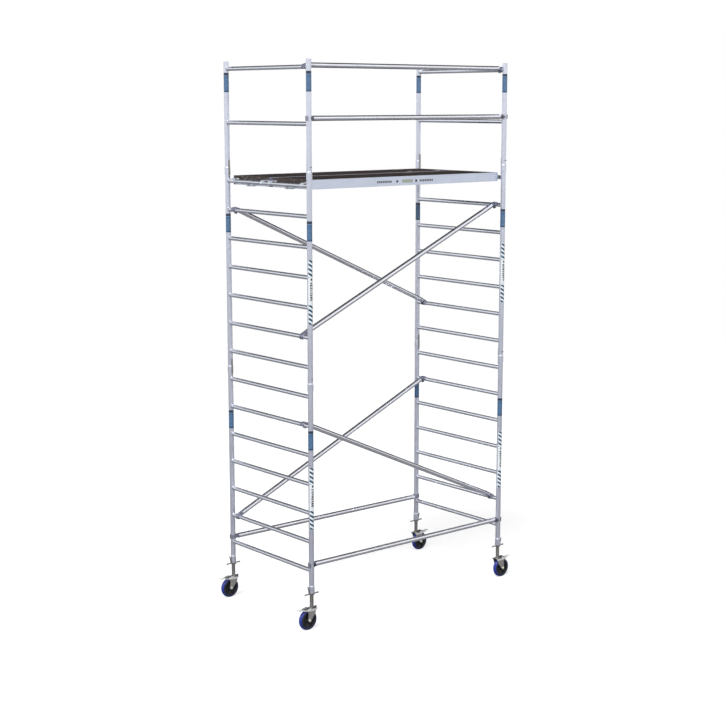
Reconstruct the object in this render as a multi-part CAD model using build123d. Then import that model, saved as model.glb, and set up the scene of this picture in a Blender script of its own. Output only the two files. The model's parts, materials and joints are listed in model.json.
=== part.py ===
from build123d import *
from math import sqrt
import os

# Mobile tower scaffold. Millimetres, +Z up, origin on the ground at the centre of the footprint.
# X runs along the bay, Y across it; the guardrails are on the front, which is -Y.

# ---- overall sizes
bay_length = 2500.0          # leg axis to leg axis along X
frame_width = 1290.0         # leg axis to leg axis along Y
rung_pitch = 280.0
rungs_per_frame = 7
first_rung_height = 220.0    # lowest rung axis above the foot of its frame
guard_frame_height = 1080.0
guard_top_drop = 70.0        # top rung axis below the top of the guard frame

# ---- frame tubes
leg_od = 50.0
leg_wall = 2.0
rung_od = 40.0
rung_wall = 1.5
socket_depth = 60.0          # how far a leg goes into the frame above
socket_wall = 3.0
socket_land = 5.0            # full outside diameter kept past the bore
socket_taper = 10.0
socket_fit = 0.3             # radial

# ---- castor
wheel_diameter = 200.0
wheel_width = 44.0
rim_diameter = 150.0
rim_wall = 8.0
web_thickness = 8.0
hub_boss_diameter = 44.0
hub_side_gap = 3.0           # hub boss to fork cheek
castor_trail = 50.0
running_fit = 0.05           # radial, shaft in bore
axle_diameter = 12.0
axle_sleeve_diameter = 16.0
axle_hex = 19.0              # across flats
axle_head = 8.0
fork_plate = 4.0
fork_inner_gap = 58.0
fork_eye_radius = 16.0
fork_front = 30.0            # crown ahead of the swivel axis
fork_brow = 95.0             # crown behind the swivel axis
fork_shank_front = 18.0      # cheek ahead of the swivel axis, where it narrows
fork_waist_drop = 38.0       # below the crown
fork_end_gap = 0.5           # wheel sleeve to cheek
axle_thread = 4.0            # past the nut
crown_clearance = 4.0        # tyre to crown
crown_thickness = 5.0
race_gap = 0.5
race_height = 5.0
race_diameter = 60.0
kingpin_diameter = 20.0
kingpin_head_diameter = 30.0
kingpin_head_height = 5.0
kingpin_head_chamfer = 3.0

# ---- levelling spindle
spindle_diameter = 36.0
spindle_shown = 124.5        # between swivel race and nut
spindle_bore = 14.0
spindle_chamfer = 2.0
spindle_down = 120.0         # travel that lifts the tower
spindle_engaged = 150.0      # least length left inside the leg
nut_height = 18.0
nut_diameter = 56.0
nut_gap = 0.2
nut_chamfer = 3.0
nut_fit = 0.1                # radial, collar in socket
collar_height = 20.0
wing_reach = 76.0
wing_diameter = 13.0
wing_ball_diameter = 17.0
wing_root = 4.0              # inside the nut's rim
catch_thickness = 3.0
catch_width = 14.0
catch_rise = 66.0
catch_lean = 14.0
catch_gap = 2.5              # catch to socket
catch_bend_height = 8.0      # above the foot of the frame
catch_foot_height = 8.0
guide_length = 65.0
guide_height = 85.0          # above the foot of the frame
guide_rivet_gap = 2.0        # blind end of a rivet to the spindle

# ---- brake
brake_plate = 3.0
brake_side_gap = 1.5
brake_pivot_diameter = 8.0
brake_pivot_back = 30.0      # behind the swivel axis
brake_pivot_drop = 13.0      # below the crown's top face
pedal_start = 99.0
pedal_end = 164.0
pedal_width = 44.0
pedal_bridge = 16.0          # full-width part of the pedal
pedal_lip = 8.0
pedal_slope = 6.0            # rise of the pedal to its end
tab_reach = 24.0             # release tab past the crown
ear_reach = 24.0
ear_width = 26.0
ear_bridge = 8.0             # full-width part of an ear or tab
ear_gap = 6.0                # ear to swivel race

# ---- frame locks
lock_pivot_height = 113.0    # above the joint
lock_pin_diameter = 10.0
lock_thickness = 3.0
lock_gap = 0.7
lock_shoulder_diameter = 16.0
lock_width = 16.0
lock_tail = 30.0             # above the pivot
lock_stud_drop = 12.0        # stud below the joint
lock_stud_diameter = 8.0
lock_notch_gap = 0.8
lock_knob_diameter = 15.0
lock_knob_length = 9.0
lock_tip = 12.0              # below the stud

# ---- braces and guardrails
brace_od = 48.0
brace_wall = 1.5
claw_offset = 16.0           # brace axis inboard of the tube it clasps
claw_gap = 0.3
claw_wall = 8.0
claw_height = 44.0
claw_arm = 10.0              # jaw arm past the clasped axis
claw_reach = 52.0            # clasped axis to the end of the brace tube
claw_shoulder = 6.0
claw_neck_width = 34.0
claw_neck_height = 30.0
plug_length = 45.0
plug_gap = 0.1
claw_notch = 16.0
latch_thickness = 6.0
latch_height = 20.0
latch_cover = 12.0           # across the mouth
latch_gap = 1.8              # pawl to the lips of the claw
latch_side_gap = 1.0         # link to claw
latch_link = 4.0
latch_link_end = 2.0         # past the clasped axis
bottom_brace_rise = 54.0     # above the lowest rung
mid_rail_rise = 50.0         # above the guard frame's mid rung
diagonal_inset = 110.0       # from the leg axis
top_rail_gap = 3.0           # claw to leg
diagonal_rungs = 4           # rungs that a diagonal climbs

# ---- rivets
rivet_diameter = 6.0
rivet_fit = 0.1
rivet_head_diameter = 12.0
rivet_head_height = 2.4
rivet_length = 9.0
guide_rivet_heights = (100.0, 135.0)
plug_rivet_depth = 20.0      # from the end of the brace tube

# ---- platform
deck_side_clearance = 15.0   # leg to deck
deck_gap = 10.0              # between the two decks
deck_rise = 52.0             # deck surface above its rung
deck_end_clearance = 25.0    # rung to end profile
beam_height = 88.0
beam_width = 22.0
beam_wall = 2.0
ledge_width = 12.0
ledge_thickness = 3.0
end_profile_width = 40.0
panel_thickness = 12.0
panel_gap = 1.0
joist_width = 25.0
joist_height = 50.0
joist_wall = 2.0
joist_shares = (-0.62, -0.12)    # of half the panel
last_joist_share = 0.40      # only under a deck without a trapdoor
hook_edge_inset = 56.0
hook_width = 34.0
hook_gap = 0.4
hook_wall = 7.0
hook_plate = 4.0
hook_plate_width = 62.0
hook_rivet_spread = 23.0
hook_mouth_drop = 6.5        # below the rung axis
hook_plate_margin = 2.0      # below the rung

# ---- trapdoor
hatch_length = 600.0
hatch_side_margin = 74.0     # outer beam to trapdoor
hatch_end_margin = 85.0      # end profile to trapdoor
hatch_gap = 2.0
hatch_seat = 12.0            # trapdoor resting on its trimmers
hinge_inset = 110.0          # from the trapdoor's ends
hinge_width = 50.0
hinge_pin_diameter = 5.0
hinge_knuckle_diameter = 9.0
hinge_leaf = 2.5
hinge_leaf_length = 42.0
hinge_axis_rise = 5.0        # above the deck surface
hinge_gap = 0.3
bail_width = 90.0
bail_length = 42.0
bail_diameter = 6.0
bail_edge = 50.0             # pivot from the free edge
bail_side_gap = 0.5
lug_width = 9.0
lug_height = 10.0
lug_hole_rise = 6.0          # above the deck surface

# ---- wind locks
wind_bar = 4.0
wind_width = 30.0
wind_gap = 1.0
wind_travel = 33.0
wind_stud_diameter = 8.0
wind_stud_spacing = 20.0
wind_head_diameter = 14.0
wind_head_height = 3.0
wind_tip_length = 22.0
wind_tip_gap = 2.0
wind_tail = 8.0

# ---- what follows from them
leg_radius = leg_od / 2
leg_bore = leg_radius - leg_wall
rung_radius = rung_od / 2
brace_radius = brace_od / 2
socket_bore = leg_radius + socket_fit
socket_radius = socket_bore + socket_wall
half_bay = bay_length / 2
half_width = frame_width / 2
top_rail_inset = leg_radius + top_rail_gap + claw_height / 2
wheel_radius = wheel_diameter / 2
spindle_radius = spindle_diameter / 2
rivet_hole = rivet_diameter / 2 + rivet_fit
crown_underside = wheel_diameter + crown_clearance
crown_top = crown_underside + crown_thickness
race_bottom = crown_top + race_gap
nut_bottom = race_bottom + race_height + spindle_shown
frame_foot = nut_bottom + nut_height
frame_pitch = rung_pitch * rungs_per_frame
first_rung = frame_foot + first_rung_height
joint_heights = (frame_foot + frame_pitch, frame_foot + 2 * frame_pitch)
deck_rung = 2 * rungs_per_frame - 1
fork_outer = fork_inner_gap / 2 + fork_plate
deck_edge = half_width - leg_radius - deck_side_clearance
beam_end = half_bay - rung_radius - deck_end_clearance
panel_end = beam_end - end_profile_width

SIDES = {"left": -1, "right": 1}
DEPTHS = {"front": -1, "rear": 1}
FLOOR = (Align.CENTER, Align.CENTER, Align.MIN)
CEILING = (Align.CENTER, Align.CENTER, Align.MAX)
FROM_X = (Align.MIN, Align.CENTER, Align.CENTER)


def rung_z(index):
    return first_rung + index * rung_pitch


deck_top = rung_z(deck_rung) + deck_rise
beam_bottom = deck_top - beam_height
panel_bottom = deck_top - panel_thickness


def save(name, pieces):
    """Writes one node, from one solid or a list of separate solids."""
    solids = [s for piece in pieces for s in piece.solids()]
    shape = solids[0] if len(solids) == 1 else Compound(children=solids)
    export_step(shape, f"parts/{name}.step")


def ring(outer, inner, height, align=FLOOR):
    return Cylinder(outer, height, align=align) - Cylinder(inner, height, align=align)


def slab(x0, x1, y0, y1, z0, z1):
    """A box between two corners."""
    size = (abs(x1 - x0), abs(y1 - y0), abs(z1 - z0))
    return Pos((x0 + x1) / 2, (y0 + y1) / 2, (z0 + z1) / 2) * Box(*size)


def side_plate(face, thickness):
    """A plate in the XZ plane, centred on it."""
    return extrude(Plane.XZ * face, amount=thickness / 2, both=True)


def outline(*points):
    return make_face(Polyline(*points, close=True))


def rivet():
    """Head on z = 0, shank downwards."""
    head = Cylinder(rivet_head_diameter / 2, rivet_head_height, align=FLOOR)
    head = fillet(head.edges().sort_by(Axis.Z)[-1], rivet_head_height * 0.8)
    return head + Cylinder(rivet_diameter / 2, rivet_length, align=CEILING)


def rivet_cutter():
    return Cylinder(rivet_hole, 3 * rivet_length)


# ---------------------------------------------------------------- frames
def leg(foot, top):
    """A leg tube with the widened socket at its foot."""
    shoulder = socket_depth + socket_land
    height = top - foot
    profile = outline(
        (socket_bore, 0), (socket_radius, 0), (socket_radius, shoulder),
        (leg_radius, shoulder + socket_taper), (leg_radius, height), (leg_bore, height),
        (leg_bore, socket_depth), (socket_bore, socket_depth),
    )
    return Pos(0, 0, foot) * revolve(Plane.XZ * profile, Axis.Z)


def rung(z):
    """A rung tube with its ends coped to the legs."""
    long_tube = Rot(90, 0, 0) * ring(rung_radius, rung_radius - rung_wall, frame_width, align=None)
    long_tube = Pos(0, frame_width / 2, 0) * long_tube
    for depth in DEPTHS.values():
        long_tube -= Pos(0, depth * half_width, 0) * Cylinder(leg_radius, 2 * rung_od)
    return Pos(0, 0, z) * long_tube


def lock_stud(joint):
    """The stud that a frame lock hooks on, pointing to +Y from a leg at the origin."""
    length = socket_radius + lock_gap + lock_thickness + lock_gap - leg_radius
    stud = Cylinder(lock_stud_diameter / 2, length + leg_wall, align=FLOOR)
    stud = Pos(0, leg_bore, joint - lock_stud_drop) * Rot(-90, 0, 0) * stud
    return stud - Pos(0, 0, joint) * Cylinder(leg_radius, 2 * rung_pitch)


def end_frame(side, foot, top, rungs, joint_below, joint_above):
    """Two legs, their rungs and the lock studs, at one end of the bay."""
    x = side * half_bay
    pieces = []
    for depth in DEPTHS.values():
        tube = leg(foot, top)
        if joint_below is None:
            for height in guide_rivet_heights:
                bore = Pos(-side * leg_radius, 0, foot + height) * Rot(0, 90, 0)
                tube -= bore * Cylinder(rivet_hole, 2 * leg_radius)
        else:
            pin_hole = Cylinder(lock_pin_diameter / 2 + running_fit, 2 * leg_od)
            tube -= Pos(0, 0, joint_below + lock_pivot_height) * Rot(90, 0, 0) * pin_hole
        at = Pos(x, depth * half_width, 0)
        pieces.append(at * tube)
        if joint_above is not None:
            turn = Rot(0, 0, 0 if depth < 0 else 180)
            pieces.append(at * turn * lock_stud(joint_above))
    pieces += [Pos(x, 0, 0) * rung(z) for z in rungs]
    return pieces


def make_frames():
    low, high = joint_heights
    lower = [rung_z(i) for i in range(rungs_per_frame)]
    upper = [rung_z(i) for i in range(rungs_per_frame, 2 * rungs_per_frame)]
    guard_top = high + guard_frame_height
    guard = [rung_z(2 * rungs_per_frame + 1), guard_top - guard_top_drop]
    for name, side in SIDES.items():
        save(f"lower_frame_{name}", end_frame(side, frame_foot, low + socket_depth, lower, None, low))
        save(f"upper_frame_{name}", end_frame(side, low, high + socket_depth, upper, low, high))
        save(f"guard_frame_{name}", end_frame(side, high, guard_top, guard, high, None))


def frame_lock(swing):
    """Lock on a leg at the origin with the joint at z = 0: strap on +Y, knob on -Y.

    swing is the X direction that the strap's foot leaves its stud in.
    """
    face = socket_radius + lock_gap
    pin_length = leg_radius + face + lock_thickness
    pin = Cylinder(lock_pin_diameter / 2, pin_length, align=FLOOR)
    shoulder = Pos(0, 0, leg_radius + lock_gap) * Cylinder(
        lock_shoulder_diameter / 2, face - leg_radius - lock_gap, align=FLOOR)
    pin = Pos(0, 0, -leg_radius) * pin + shoulder
    knob = Cylinder(lock_knob_diameter / 2, lock_knob_length, align=CEILING)
    knob = fillet(knob.edges(), lock_thickness / 2)
    pin += Pos(0, 0, -leg_radius - lock_gap) * knob
    pin += Pos(0, 0, -leg_radius) * Cylinder(lock_pin_diameter / 2, 2 * lock_gap, align=CEILING)
    pin = Rot(-90, 0, 0) * pin
    bottom = -lock_pivot_height - lock_stud_drop - lock_tip
    strap = Pos(0, (lock_tail + bottom) / 2) * Rectangle(lock_width, lock_tail - bottom)
    strap = fillet(strap.vertices(), lock_width * 0.45)
    strap = Pos(0, face + lock_thickness / 2, 0) * side_plate(strap, lock_thickness)
    notch = lock_stud_diameter + 2 * lock_notch_gap
    stud_z = -lock_pivot_height - lock_stud_drop
    slot = Pos(-swing * lock_width / 2, face, stud_z) * Box(lock_width, 4 * lock_thickness, notch)
    slot += Pos(0, face, stud_z) * Rot(90, 0, 0) * Cylinder(notch / 2, 4 * lock_thickness)
    return Pos(0, 0, lock_pivot_height) * (strap - slot + pin)


def make_locks():
    for joint, level in zip(joint_heights, ("lower", "upper")):
        for depth_name, depth in DEPTHS.items():
            for side_name, side in SIDES.items():
                turn = Rot(0, 0, 0 if depth < 0 else 180)
                at = Pos(side * half_bay, depth * half_width, joint)
                save(f"frame_lock_{level}_{depth_name}_{side_name}", [at * turn * frame_lock(side * depth)])


# ---------------------------------------------------------------- castors, trailing to -X
def wheel_place():
    return Pos(-castor_trail, 0, wheel_radius) * Rot(90, 0, 0)


def wheel_hub():
    rim_radius = rim_diameter / 2
    boss = fork_inner_gap - 2 * hub_side_gap
    hub = ring(rim_radius, rim_radius - rim_wall, wheel_width, align=None)
    hub = Pos(0, 0, -wheel_width / 2) * hub
    hub += Cylinder(rim_radius - rim_wall / 2, web_thickness)
    hub += Cylinder(hub_boss_diameter / 2, boss)
    rib = Box(rim_radius - rim_wall / 2, web_thickness / 2, wheel_width - 2 * rim_wall, align=FROM_X)
    for turn in range(0, 360, 60):
        hub += Rot(0, 0, turn) * rib
    hub -= Cylinder(axle_sleeve_diameter / 2 + running_fit, 2 * boss)
    return wheel_place() * hub


def tyre():
    tread = Cylinder(wheel_radius, wheel_width)
    tread = fillet(tread.edges(), wheel_width / 5)
    return wheel_place() * (tread - Cylinder(rim_diameter / 2, 2 * wheel_width))


def axle_bolt():
    """Bolt head on -Y, nut on +Y and the sleeve that the wheel turns on."""
    reach = 2 * fork_outer + axle_head
    shaft = Pos(0, 0, -fork_outer) * Cylinder(axle_diameter / 2, reach + axle_thread, align=FLOOR)
    head = extrude(RegularPolygon(axle_hex / 2, 6, major_radius=False), axle_head)
    bolt = shaft + Pos(0, 0, -fork_outer - axle_head) * head
    nut = Pos(0, 0, fork_outer) * head - Cylinder(axle_diameter / 2 + running_fit, 4 * reach)
    length = fork_inner_gap - 2 * fork_end_gap
    sleeve = ring(axle_sleeve_diameter / 2, axle_diameter / 2 + running_fit, length, None)
    sleeve = Pos(0, 0, -length / 2) * sleeve
    turn = Pos(-castor_trail, 0, wheel_radius) * Rot(-90, 0, 0)
    return [turn * bolt, turn * nut, turn * sleeve]


def castor_fork():
    eye = Pos(-castor_trail, wheel_radius) * Circle(fork_eye_radius)
    waist = crown_underside - fork_waist_drop
    back = -castor_trail - fork_eye_radius * 0.75
    shank = outline((back, waist), (back, waist + 10), (fork_shank_front, waist + 2),
                    (fork_shank_front, waist - 8))
    cheek = make_hull(eye.edges() + shank.edges())
    cheek += outline(
        (back, waist), (back - 6, (waist + crown_underside) / 2), (-fork_brow, crown_underside - 4),
        (-fork_brow, crown_top), (fork_front, crown_top), (fork_front - 3, crown_underside - 16),
        (fork_shank_front, waist - 8),
    )
    plate = side_plate(cheek, fork_plate)
    offset = fork_outer - fork_plate / 2
    fork = Pos(0, offset, 0) * plate + Pos(0, -offset, 0) * plate
    fork += slab(-fork_brow, fork_front, -fork_outer, fork_outer, crown_underside, crown_top)
    pivot = Cylinder(brake_pivot_diameter / 2, 2 * (fork_outer + brake_side_gap + 2 * brake_plate))
    gap = Box(8 * brake_pivot_diameter, fork_inner_gap, 8 * brake_pivot_diameter)
    pivot = Rot(90, 0, 0) * pivot - gap
    fork += Pos(-brake_pivot_back, 0, crown_top - brake_pivot_drop) * pivot
    fork -= Pos(-castor_trail, 0, wheel_radius) * Rot(90, 0, 0) * Cylinder(
        axle_diameter / 2 + running_fit, 4 * fork_outer)
    fork -= Pos(0, 0, crown_top) * Cylinder(kingpin_diameter / 2 + running_fit, 4 * crown_thickness)
    return fork


def bent_strip(start, end):
    """A strip of brake plate between two points of the XZ plane, each its lower edge."""
    lift = brake_plate
    return outline(start, end, (end[0], end[1] + lift), (start[0], start[1] + lift))


def bridge_end(start, end, bridge):
    """The point of a strip where its full-width part ends."""
    share = bridge / abs(end[0] - start[0])
    return start[0] + (end[0] - start[0]) * share, start[1] + (end[1] - start[1]) * share


def brake_pedal():
    """A rocker round the fork: pedal behind, an ear and a release tab beside the stem."""
    pivot_z = crown_top - brake_pivot_drop
    hub = 1.1 * brake_pivot_diameter
    tread = (-pedal_start, crown_top - 8), (-pedal_end, crown_top - 8 + pedal_slope)
    ear_root = (-race_diameter / 2 - ear_gap, crown_top + 2)
    ear = ear_root, (ear_root[0] - ear_reach, crown_top + 16)
    tab = (fork_front + 4, crown_top - 3), (fork_front + tab_reach, crown_top + 9)
    pedal_root = bridge_end(*tread, pedal_bridge)
    ear_bend = bridge_end(*ear, ear_bridge)
    tab_bend = bridge_end(*tab, ear_bridge)
    arm = outline(
        tab_bend, (tab[0][0], pivot_z - 4), (-brake_pivot_back, pivot_z - hub), tread[0], pedal_root,
        (pedal_root[0], pedal_root[1] + brake_plate), (tread[0][0], tread[0][1] + 5),
        (ear_bend[0], ear_bend[1] + brake_plate), (ear_root[0], ear_root[1] + brake_plate),
        (-brake_pivot_back, pivot_z + hub), (fork_front, pivot_z + hub),
        (tab_bend[0], tab_bend[1] + brake_plate),
    )
    outside = fork_outer + brake_side_gap + brake_plate
    side = side_plate(arm, brake_plate)
    pedal = Pos(0, outside - brake_plate / 2, 0) * side + Pos(0, brake_plate / 2 - outside, 0) * side
    for start, bend in ((tread[0], pedal_root), (ear_root, ear_bend), (tab[0], tab_bend)):
        pedal += side_plate(bent_strip(start, bend), 2 * outside)
    for (start, end), width in ((tread, pedal_width), (ear, ear_width), (tab, ear_width)):
        pedal += side_plate(bent_strip(start, end), width)
    lip_foot = tread[1][1]
    half = pedal_width / 2
    pedal += slab(-pedal_end, -pedal_end + brake_plate, -half, half, lip_foot, lip_foot + pedal_lip)
    bore = Rot(90, 0, 0) * Cylinder(brake_pivot_diameter / 2 + running_fit, 4 * outside)
    return pedal - Pos(-brake_pivot_back, 0, pivot_z) * bore


def spindle():
    """Levelling screw, swivel race and kingpin in one piece."""
    top = frame_foot + spindle_down + spindle_engaged
    race = Pos(0, 0, race_bottom) * Cylinder(race_diameter / 2, race_height, align=FLOOR)
    race = chamfer(race.edges().sort_by(Axis.Z)[-1], race_height / 2)
    stem = Pos(0, 0, race_bottom) * Cylinder(spindle_radius, top - race_bottom, align=FLOOR)
    stem = chamfer(stem.edges().sort_by(Axis.Z)[-1], spindle_chamfer)
    pin_bottom = crown_underside - race_gap - kingpin_head_height
    pin = Pos(0, 0, pin_bottom) * Cylinder(kingpin_diameter / 2, race_bottom - pin_bottom, align=FLOOR)
    head = Pos(0, 0, pin_bottom) * Cylinder(kingpin_head_diameter / 2, kingpin_head_height, align=FLOOR)
    head = chamfer(head.edges().sort_by(Axis.Z)[0], kingpin_head_chamfer)
    bore = Pos(0, 0, top) * Cylinder(spindle_bore / 2, spindle_down, align=CEILING)
    return race + stem + pin + head - bore


def adjusting_nut():
    """Wing nut with a collar inside the leg and an upright catch outside it."""
    top = frame_foot - nut_gap
    nut = Pos(0, 0, top) * Cylinder(nut_diameter / 2, nut_height - nut_gap, align=CEILING)
    nut = chamfer(nut.edges().sort_by(Axis.Z)[0], nut_chamfer)
    collar = Cylinder(socket_bore - nut_fit, collar_height + nut_gap, align=FLOOR)
    nut += Pos(0, 0, top) * collar
    root = nut_diameter / 2 - wing_root
    wing = Pos(0, 0, root) * Cylinder(wing_diameter / 2, wing_reach - root, align=FLOOR)
    wing += Pos(0, 0, wing_reach) * Sphere(wing_ball_diameter / 2)
    for turn in (90, -90):
        nut += Pos(0, 0, top - nut_height / 2) * Rot(0, turn, 0) * wing
    inner = -socket_radius - catch_gap
    outer = inner - catch_thickness
    low, high = top - nut_height * 0.7, top + catch_rise
    bend = top + catch_bend_height
    nut += slab(outer, -nut_diameter / 4, -catch_width / 2, catch_width / 2, low, low + catch_foot_height)
    blade = outline(
        (inner, low), (inner, bend), (inner - catch_lean, high),
        (outer - catch_lean, high), (outer, bend), (outer, low),
    )
    nut += side_plate(blade, catch_width)
    return nut - Pos(0, 0, top) * Cylinder(spindle_radius + running_fit, 4 * nut_height + collar_height)


def spindle_guide(side):
    """Plastic bush riveted inside the leg, that the spindle slides through."""
    guide = Pos(0, 0, frame_foot + guide_height) * ring(
        leg_bore, spindle_radius + running_fit, guide_length)
    for height in guide_rivet_heights:
        hole = Pos(-side * leg_radius, 0, frame_foot + height) * Rot(0, 90, 0)
        guide -= hole * Cylinder(rivet_hole, 2 * (leg_od - spindle_diameter))
    return guide


def make_castors():
    guides = []
    rivets = []
    for depth_name, depth in DEPTHS.items():
        for side_name, side in SIDES.items():
            corner = Pos(side * half_bay, depth * half_width, 0)
            at = corner * Rot(0, 0, 0 if side < 0 else 180)
            where = f"{depth_name}_{side_name}"
            save(f"spindle_{where}", [at * spindle()])
            save(f"adjusting_nut_{where}", [at * adjusting_nut()])
            save(f"castor_fork_{where}", [at * castor_fork()])
            save(f"axle_bolt_{where}", [at * piece for piece in axle_bolt()])
            save(f"wheel_hub_{where}", [at * wheel_hub()])
            save(f"tyre_{where}", [at * tyre()])
            save(f"brake_pedal_{where}", [at * brake_pedal()])
            guides.append(corner * spindle_guide(side))
            short = leg_radius - spindle_radius - guide_rivet_gap
            for height in guide_rivet_heights:
                place = Pos(-side * leg_radius, 0, frame_foot + height) * Rot(0, -side * 90, 0)
                blind = rivet() - Pos(0, 0, -short) * Cylinder(rivet_diameter, rivet_length, align=CEILING)
                rivets.append(corner * place * blind)
    save("spindle_guides", guides)
    return rivets


# ---------------------------------------------------------------- braces
def claw(clasped):
    """Claw for a tube of radius clasped along Z at the origin; brace along +X, mouth to -Y."""
    bore = clasped + claw_gap
    outer = bore + claw_wall
    jaw = Cylinder(outer, claw_height)
    jaw += slab(-outer, outer, -claw_arm, 0, -claw_height / 2, claw_height / 2)
    neck = slab(0, claw_reach - claw_shoulder, claw_offset - claw_neck_width / 2,
                claw_offset + claw_neck_width / 2, -claw_neck_height / 2, claw_neck_height / 2)
    body = jaw + neck
    body -= Cylinder(bore, 2 * claw_height)
    body -= slab(-bore, bore, -4 * outer, 0, -claw_height, claw_height)
    body -= slab(-2 * outer, -bore - claw_wall / 2, -2 * outer, 2 * outer, -claw_notch / 2, claw_notch / 2)
    along = Pos(claw_reach - claw_shoulder, claw_offset, 0) * Rot(0, 90, 0)
    body += along * Cylinder(brace_radius, claw_shoulder, align=FLOOR)
    plug_radius = brace_radius - brace_wall - plug_gap
    body += along * Cylinder(plug_radius, claw_shoulder + plug_length, align=FLOOR)
    return body - claw_rivet_place() * rivet_cutter() - claw_rivet_place(-1) * rivet_cutter()


def claw_latch(clasped):
    """Sprung pawl that closes the mouth of a claw."""
    bore = clasped + claw_gap
    outer = bore + claw_wall
    face = sqrt(outer ** 2 - bore ** 2) + latch_gap
    half = latch_height / 2
    inside = outer + latch_side_gap
    pawl = slab(bore - latch_cover, inside + latch_link, -face - latch_thickness, -face, -half, half)
    pawl = fillet(pawl.edges().filter_by(Axis.Z), latch_thickness / 3)
    link = slab(inside, inside + latch_link, -face - latch_thickness / 2, -latch_link_end, -half, half)
    return pawl + link


def claw_rivet_place(side=1):
    up = Pos(claw_reach + plug_rivet_depth, claw_offset, side * brace_radius)
    return up * Rot(0 if side > 0 else 180, 0, 0)


def brace(start, end, inboard, clasped):
    """One brace between two clasped axes: its tube, claws, latches and rivets."""
    first, last = Vector(*start), Vector(*end)
    along = (last - first).normalized()
    lift = Vector(*inboard)
    lift = (lift - along * lift.dot(along)).normalized()
    length = (last - first).length - 2 * claw_reach
    ends = []
    for point, toward in ((first, along), (last, along * -1)):
        ends.append(Location(Plane(point, x_dir=toward, z_dir=toward.cross(lift))))
    tube = Rot(0, 90, 0) * ring(brace_radius, brace_radius - brace_wall, length)
    tube = ends[0] * Pos(claw_reach, claw_offset, 0) * tube
    rivets = []
    for end in ends:
        for side in (1, -1):
            place = end * claw_rivet_place(side)
            tube -= place * Cylinder(rivet_hole, rivet_length)
            rivets.append(place * rivet())
    claws = [end * claw(clasped) for end in ends]
    latches = [end * claw_latch(clasped) for end in ends]
    return tube, claws, latches, rivets


def make_braces():
    """Bottom braces, diagonals and guardrails; returns the rivets they need."""
    claws, latches, rivets = [], [], []
    up = (0, 0, 1)

    def add(name, ends):
        tubes = []
        for start, end, inboard, clasped in ends:
            tube, new_claws, new_latches, new_rivets = brace(start, end, inboard, clasped)
            tubes.append(tube)
            claws.extend(new_claws)
            latches.extend(new_latches)
            rivets.extend(new_rivets)
        save(name, tubes)

    def across(y, left_z, right_z, inboard, clasped):
        return ((-half_bay, y, left_z), (half_bay, y, right_z), inboard, clasped)

    low = first_rung + bottom_brace_rise
    add("bottom_braces", [across(d * half_width, low, low, (0, -d, 0), leg_radius) for d in (-1, 1)])
    inner = half_width - diagonal_inset
    for name, base in (("lower_diagonals", 1), ("upper_diagonals", rungs_per_frame + 1)):
        bottom, top = rung_z(base), rung_z(base + diagonal_rungs)
        falls = name == "lower_diagonals"
        front = (top, bottom) if falls else (bottom, top)
        add(name, [across(-inner, *front, up, rung_radius), across(inner, *front[::-1], up, rung_radius)])
    guard_mid = rung_z(2 * rungs_per_frame + 1) + mid_rail_rise
    guard_top = joint_heights[1] + guard_frame_height - guard_top_drop
    add("guardrails", [
        across(-half_width, guard_mid, guard_mid, (0, 1, 0), leg_radius),
        across(top_rail_inset - half_width, guard_top, guard_top, up, rung_radius),
    ])
    save("brace_claws", claws)
    save("claw_latches", latches)
    return rivets


# ---------------------------------------------------------------- platform
def tube_box(x0, x1, y0, y1, z0, z1, wall, along):
    """A rectangular tube, open at both ends along X or Y."""
    inset = (0 if along == "X" else wall, 0 if along == "Y" else wall)
    inner = slab(x0 + inset[0], x1 - inset[0], y0 + inset[1], y1 - inset[1], z0 + wall, z1 - wall)
    return slab(x0, x1, y0, y1, z0, z1) - inner


def deck_edges(depth):
    """Inner and outer edge of a deck, from the middle of the tower outwards."""
    return depth * deck_gap / 2, depth * deck_edge


def side_beam(edge, inward):
    """A side beam along X with its ledge; inward is the Y direction towards the panel."""
    inner = edge + inward * beam_width
    low, high = sorted((edge, inner))
    beam = tube_box(-beam_end, beam_end, low, high, beam_bottom, deck_top, beam_wall, "X")
    low, high = sorted((inner, inner + inward * ledge_width))
    ledge = slab(-panel_end, panel_end, low, high, panel_bottom - ledge_thickness, panel_bottom)
    return beam + ledge


def hatch_span():
    """Trapdoor corners: x0, x1, y0, y1."""
    x1 = panel_end - hatch_end_margin
    y0 = deck_gap / 2 + beam_width + hatch_gap
    return x1 - hatch_length, x1, y0, deck_edge - beam_width - hatch_side_margin


def joists(depth):
    """Cross tubes under the panel; the rear deck has one at each end of its trapdoor."""
    low, high = sorted(depth * v for v in (deck_gap / 2 + beam_width, deck_edge - beam_width))
    x0, x1, _, y1 = hatch_span()
    half = joist_width / 2
    places = [panel_end * share for share in joist_shares]
    if depth > 0:
        places += [x0 + hatch_seat - half, x1 - hatch_seat + half]
    else:
        places.append(panel_end * last_joist_share)
    top = panel_bottom - ledge_thickness
    tubes = []
    for x in places:
        tube = tube_box(x - half, x + half, low, high, top - joist_height, top, joist_wall, "Y")
        tubes.append(tube + slab(x - half, x + half, low + ledge_width, high - ledge_width,
                                 top, panel_bottom))
    if depth > 0:
        y = y1 - hatch_seat + half
        x_low, x_high = places[2] + half, places[3] - half
        tubes.append(tube_box(x_low, x_high, y - half, y + half, panel_bottom - joist_height,
                              panel_bottom, joist_wall, "X"))
    return tubes


def wind_studs(depth):
    """Guide studs of a wind lock, under the left end profile."""
    y = depth * (deck_gap / 2 + deck_edge) / 2
    middle = -(beam_end + panel_end) / 2
    studs = []
    for offset in (-0.5, 0.5):
        drop = wind_gap + wind_bar + wind_gap
        stud = Cylinder(wind_stud_diameter / 2, drop, align=CEILING)
        stud += Pos(0, 0, -drop) * Cylinder(wind_head_diameter / 2, wind_head_height, align=CEILING)
        studs.append(Pos(middle + offset * wind_stud_spacing, y, beam_bottom) * stud)
    return studs


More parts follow.
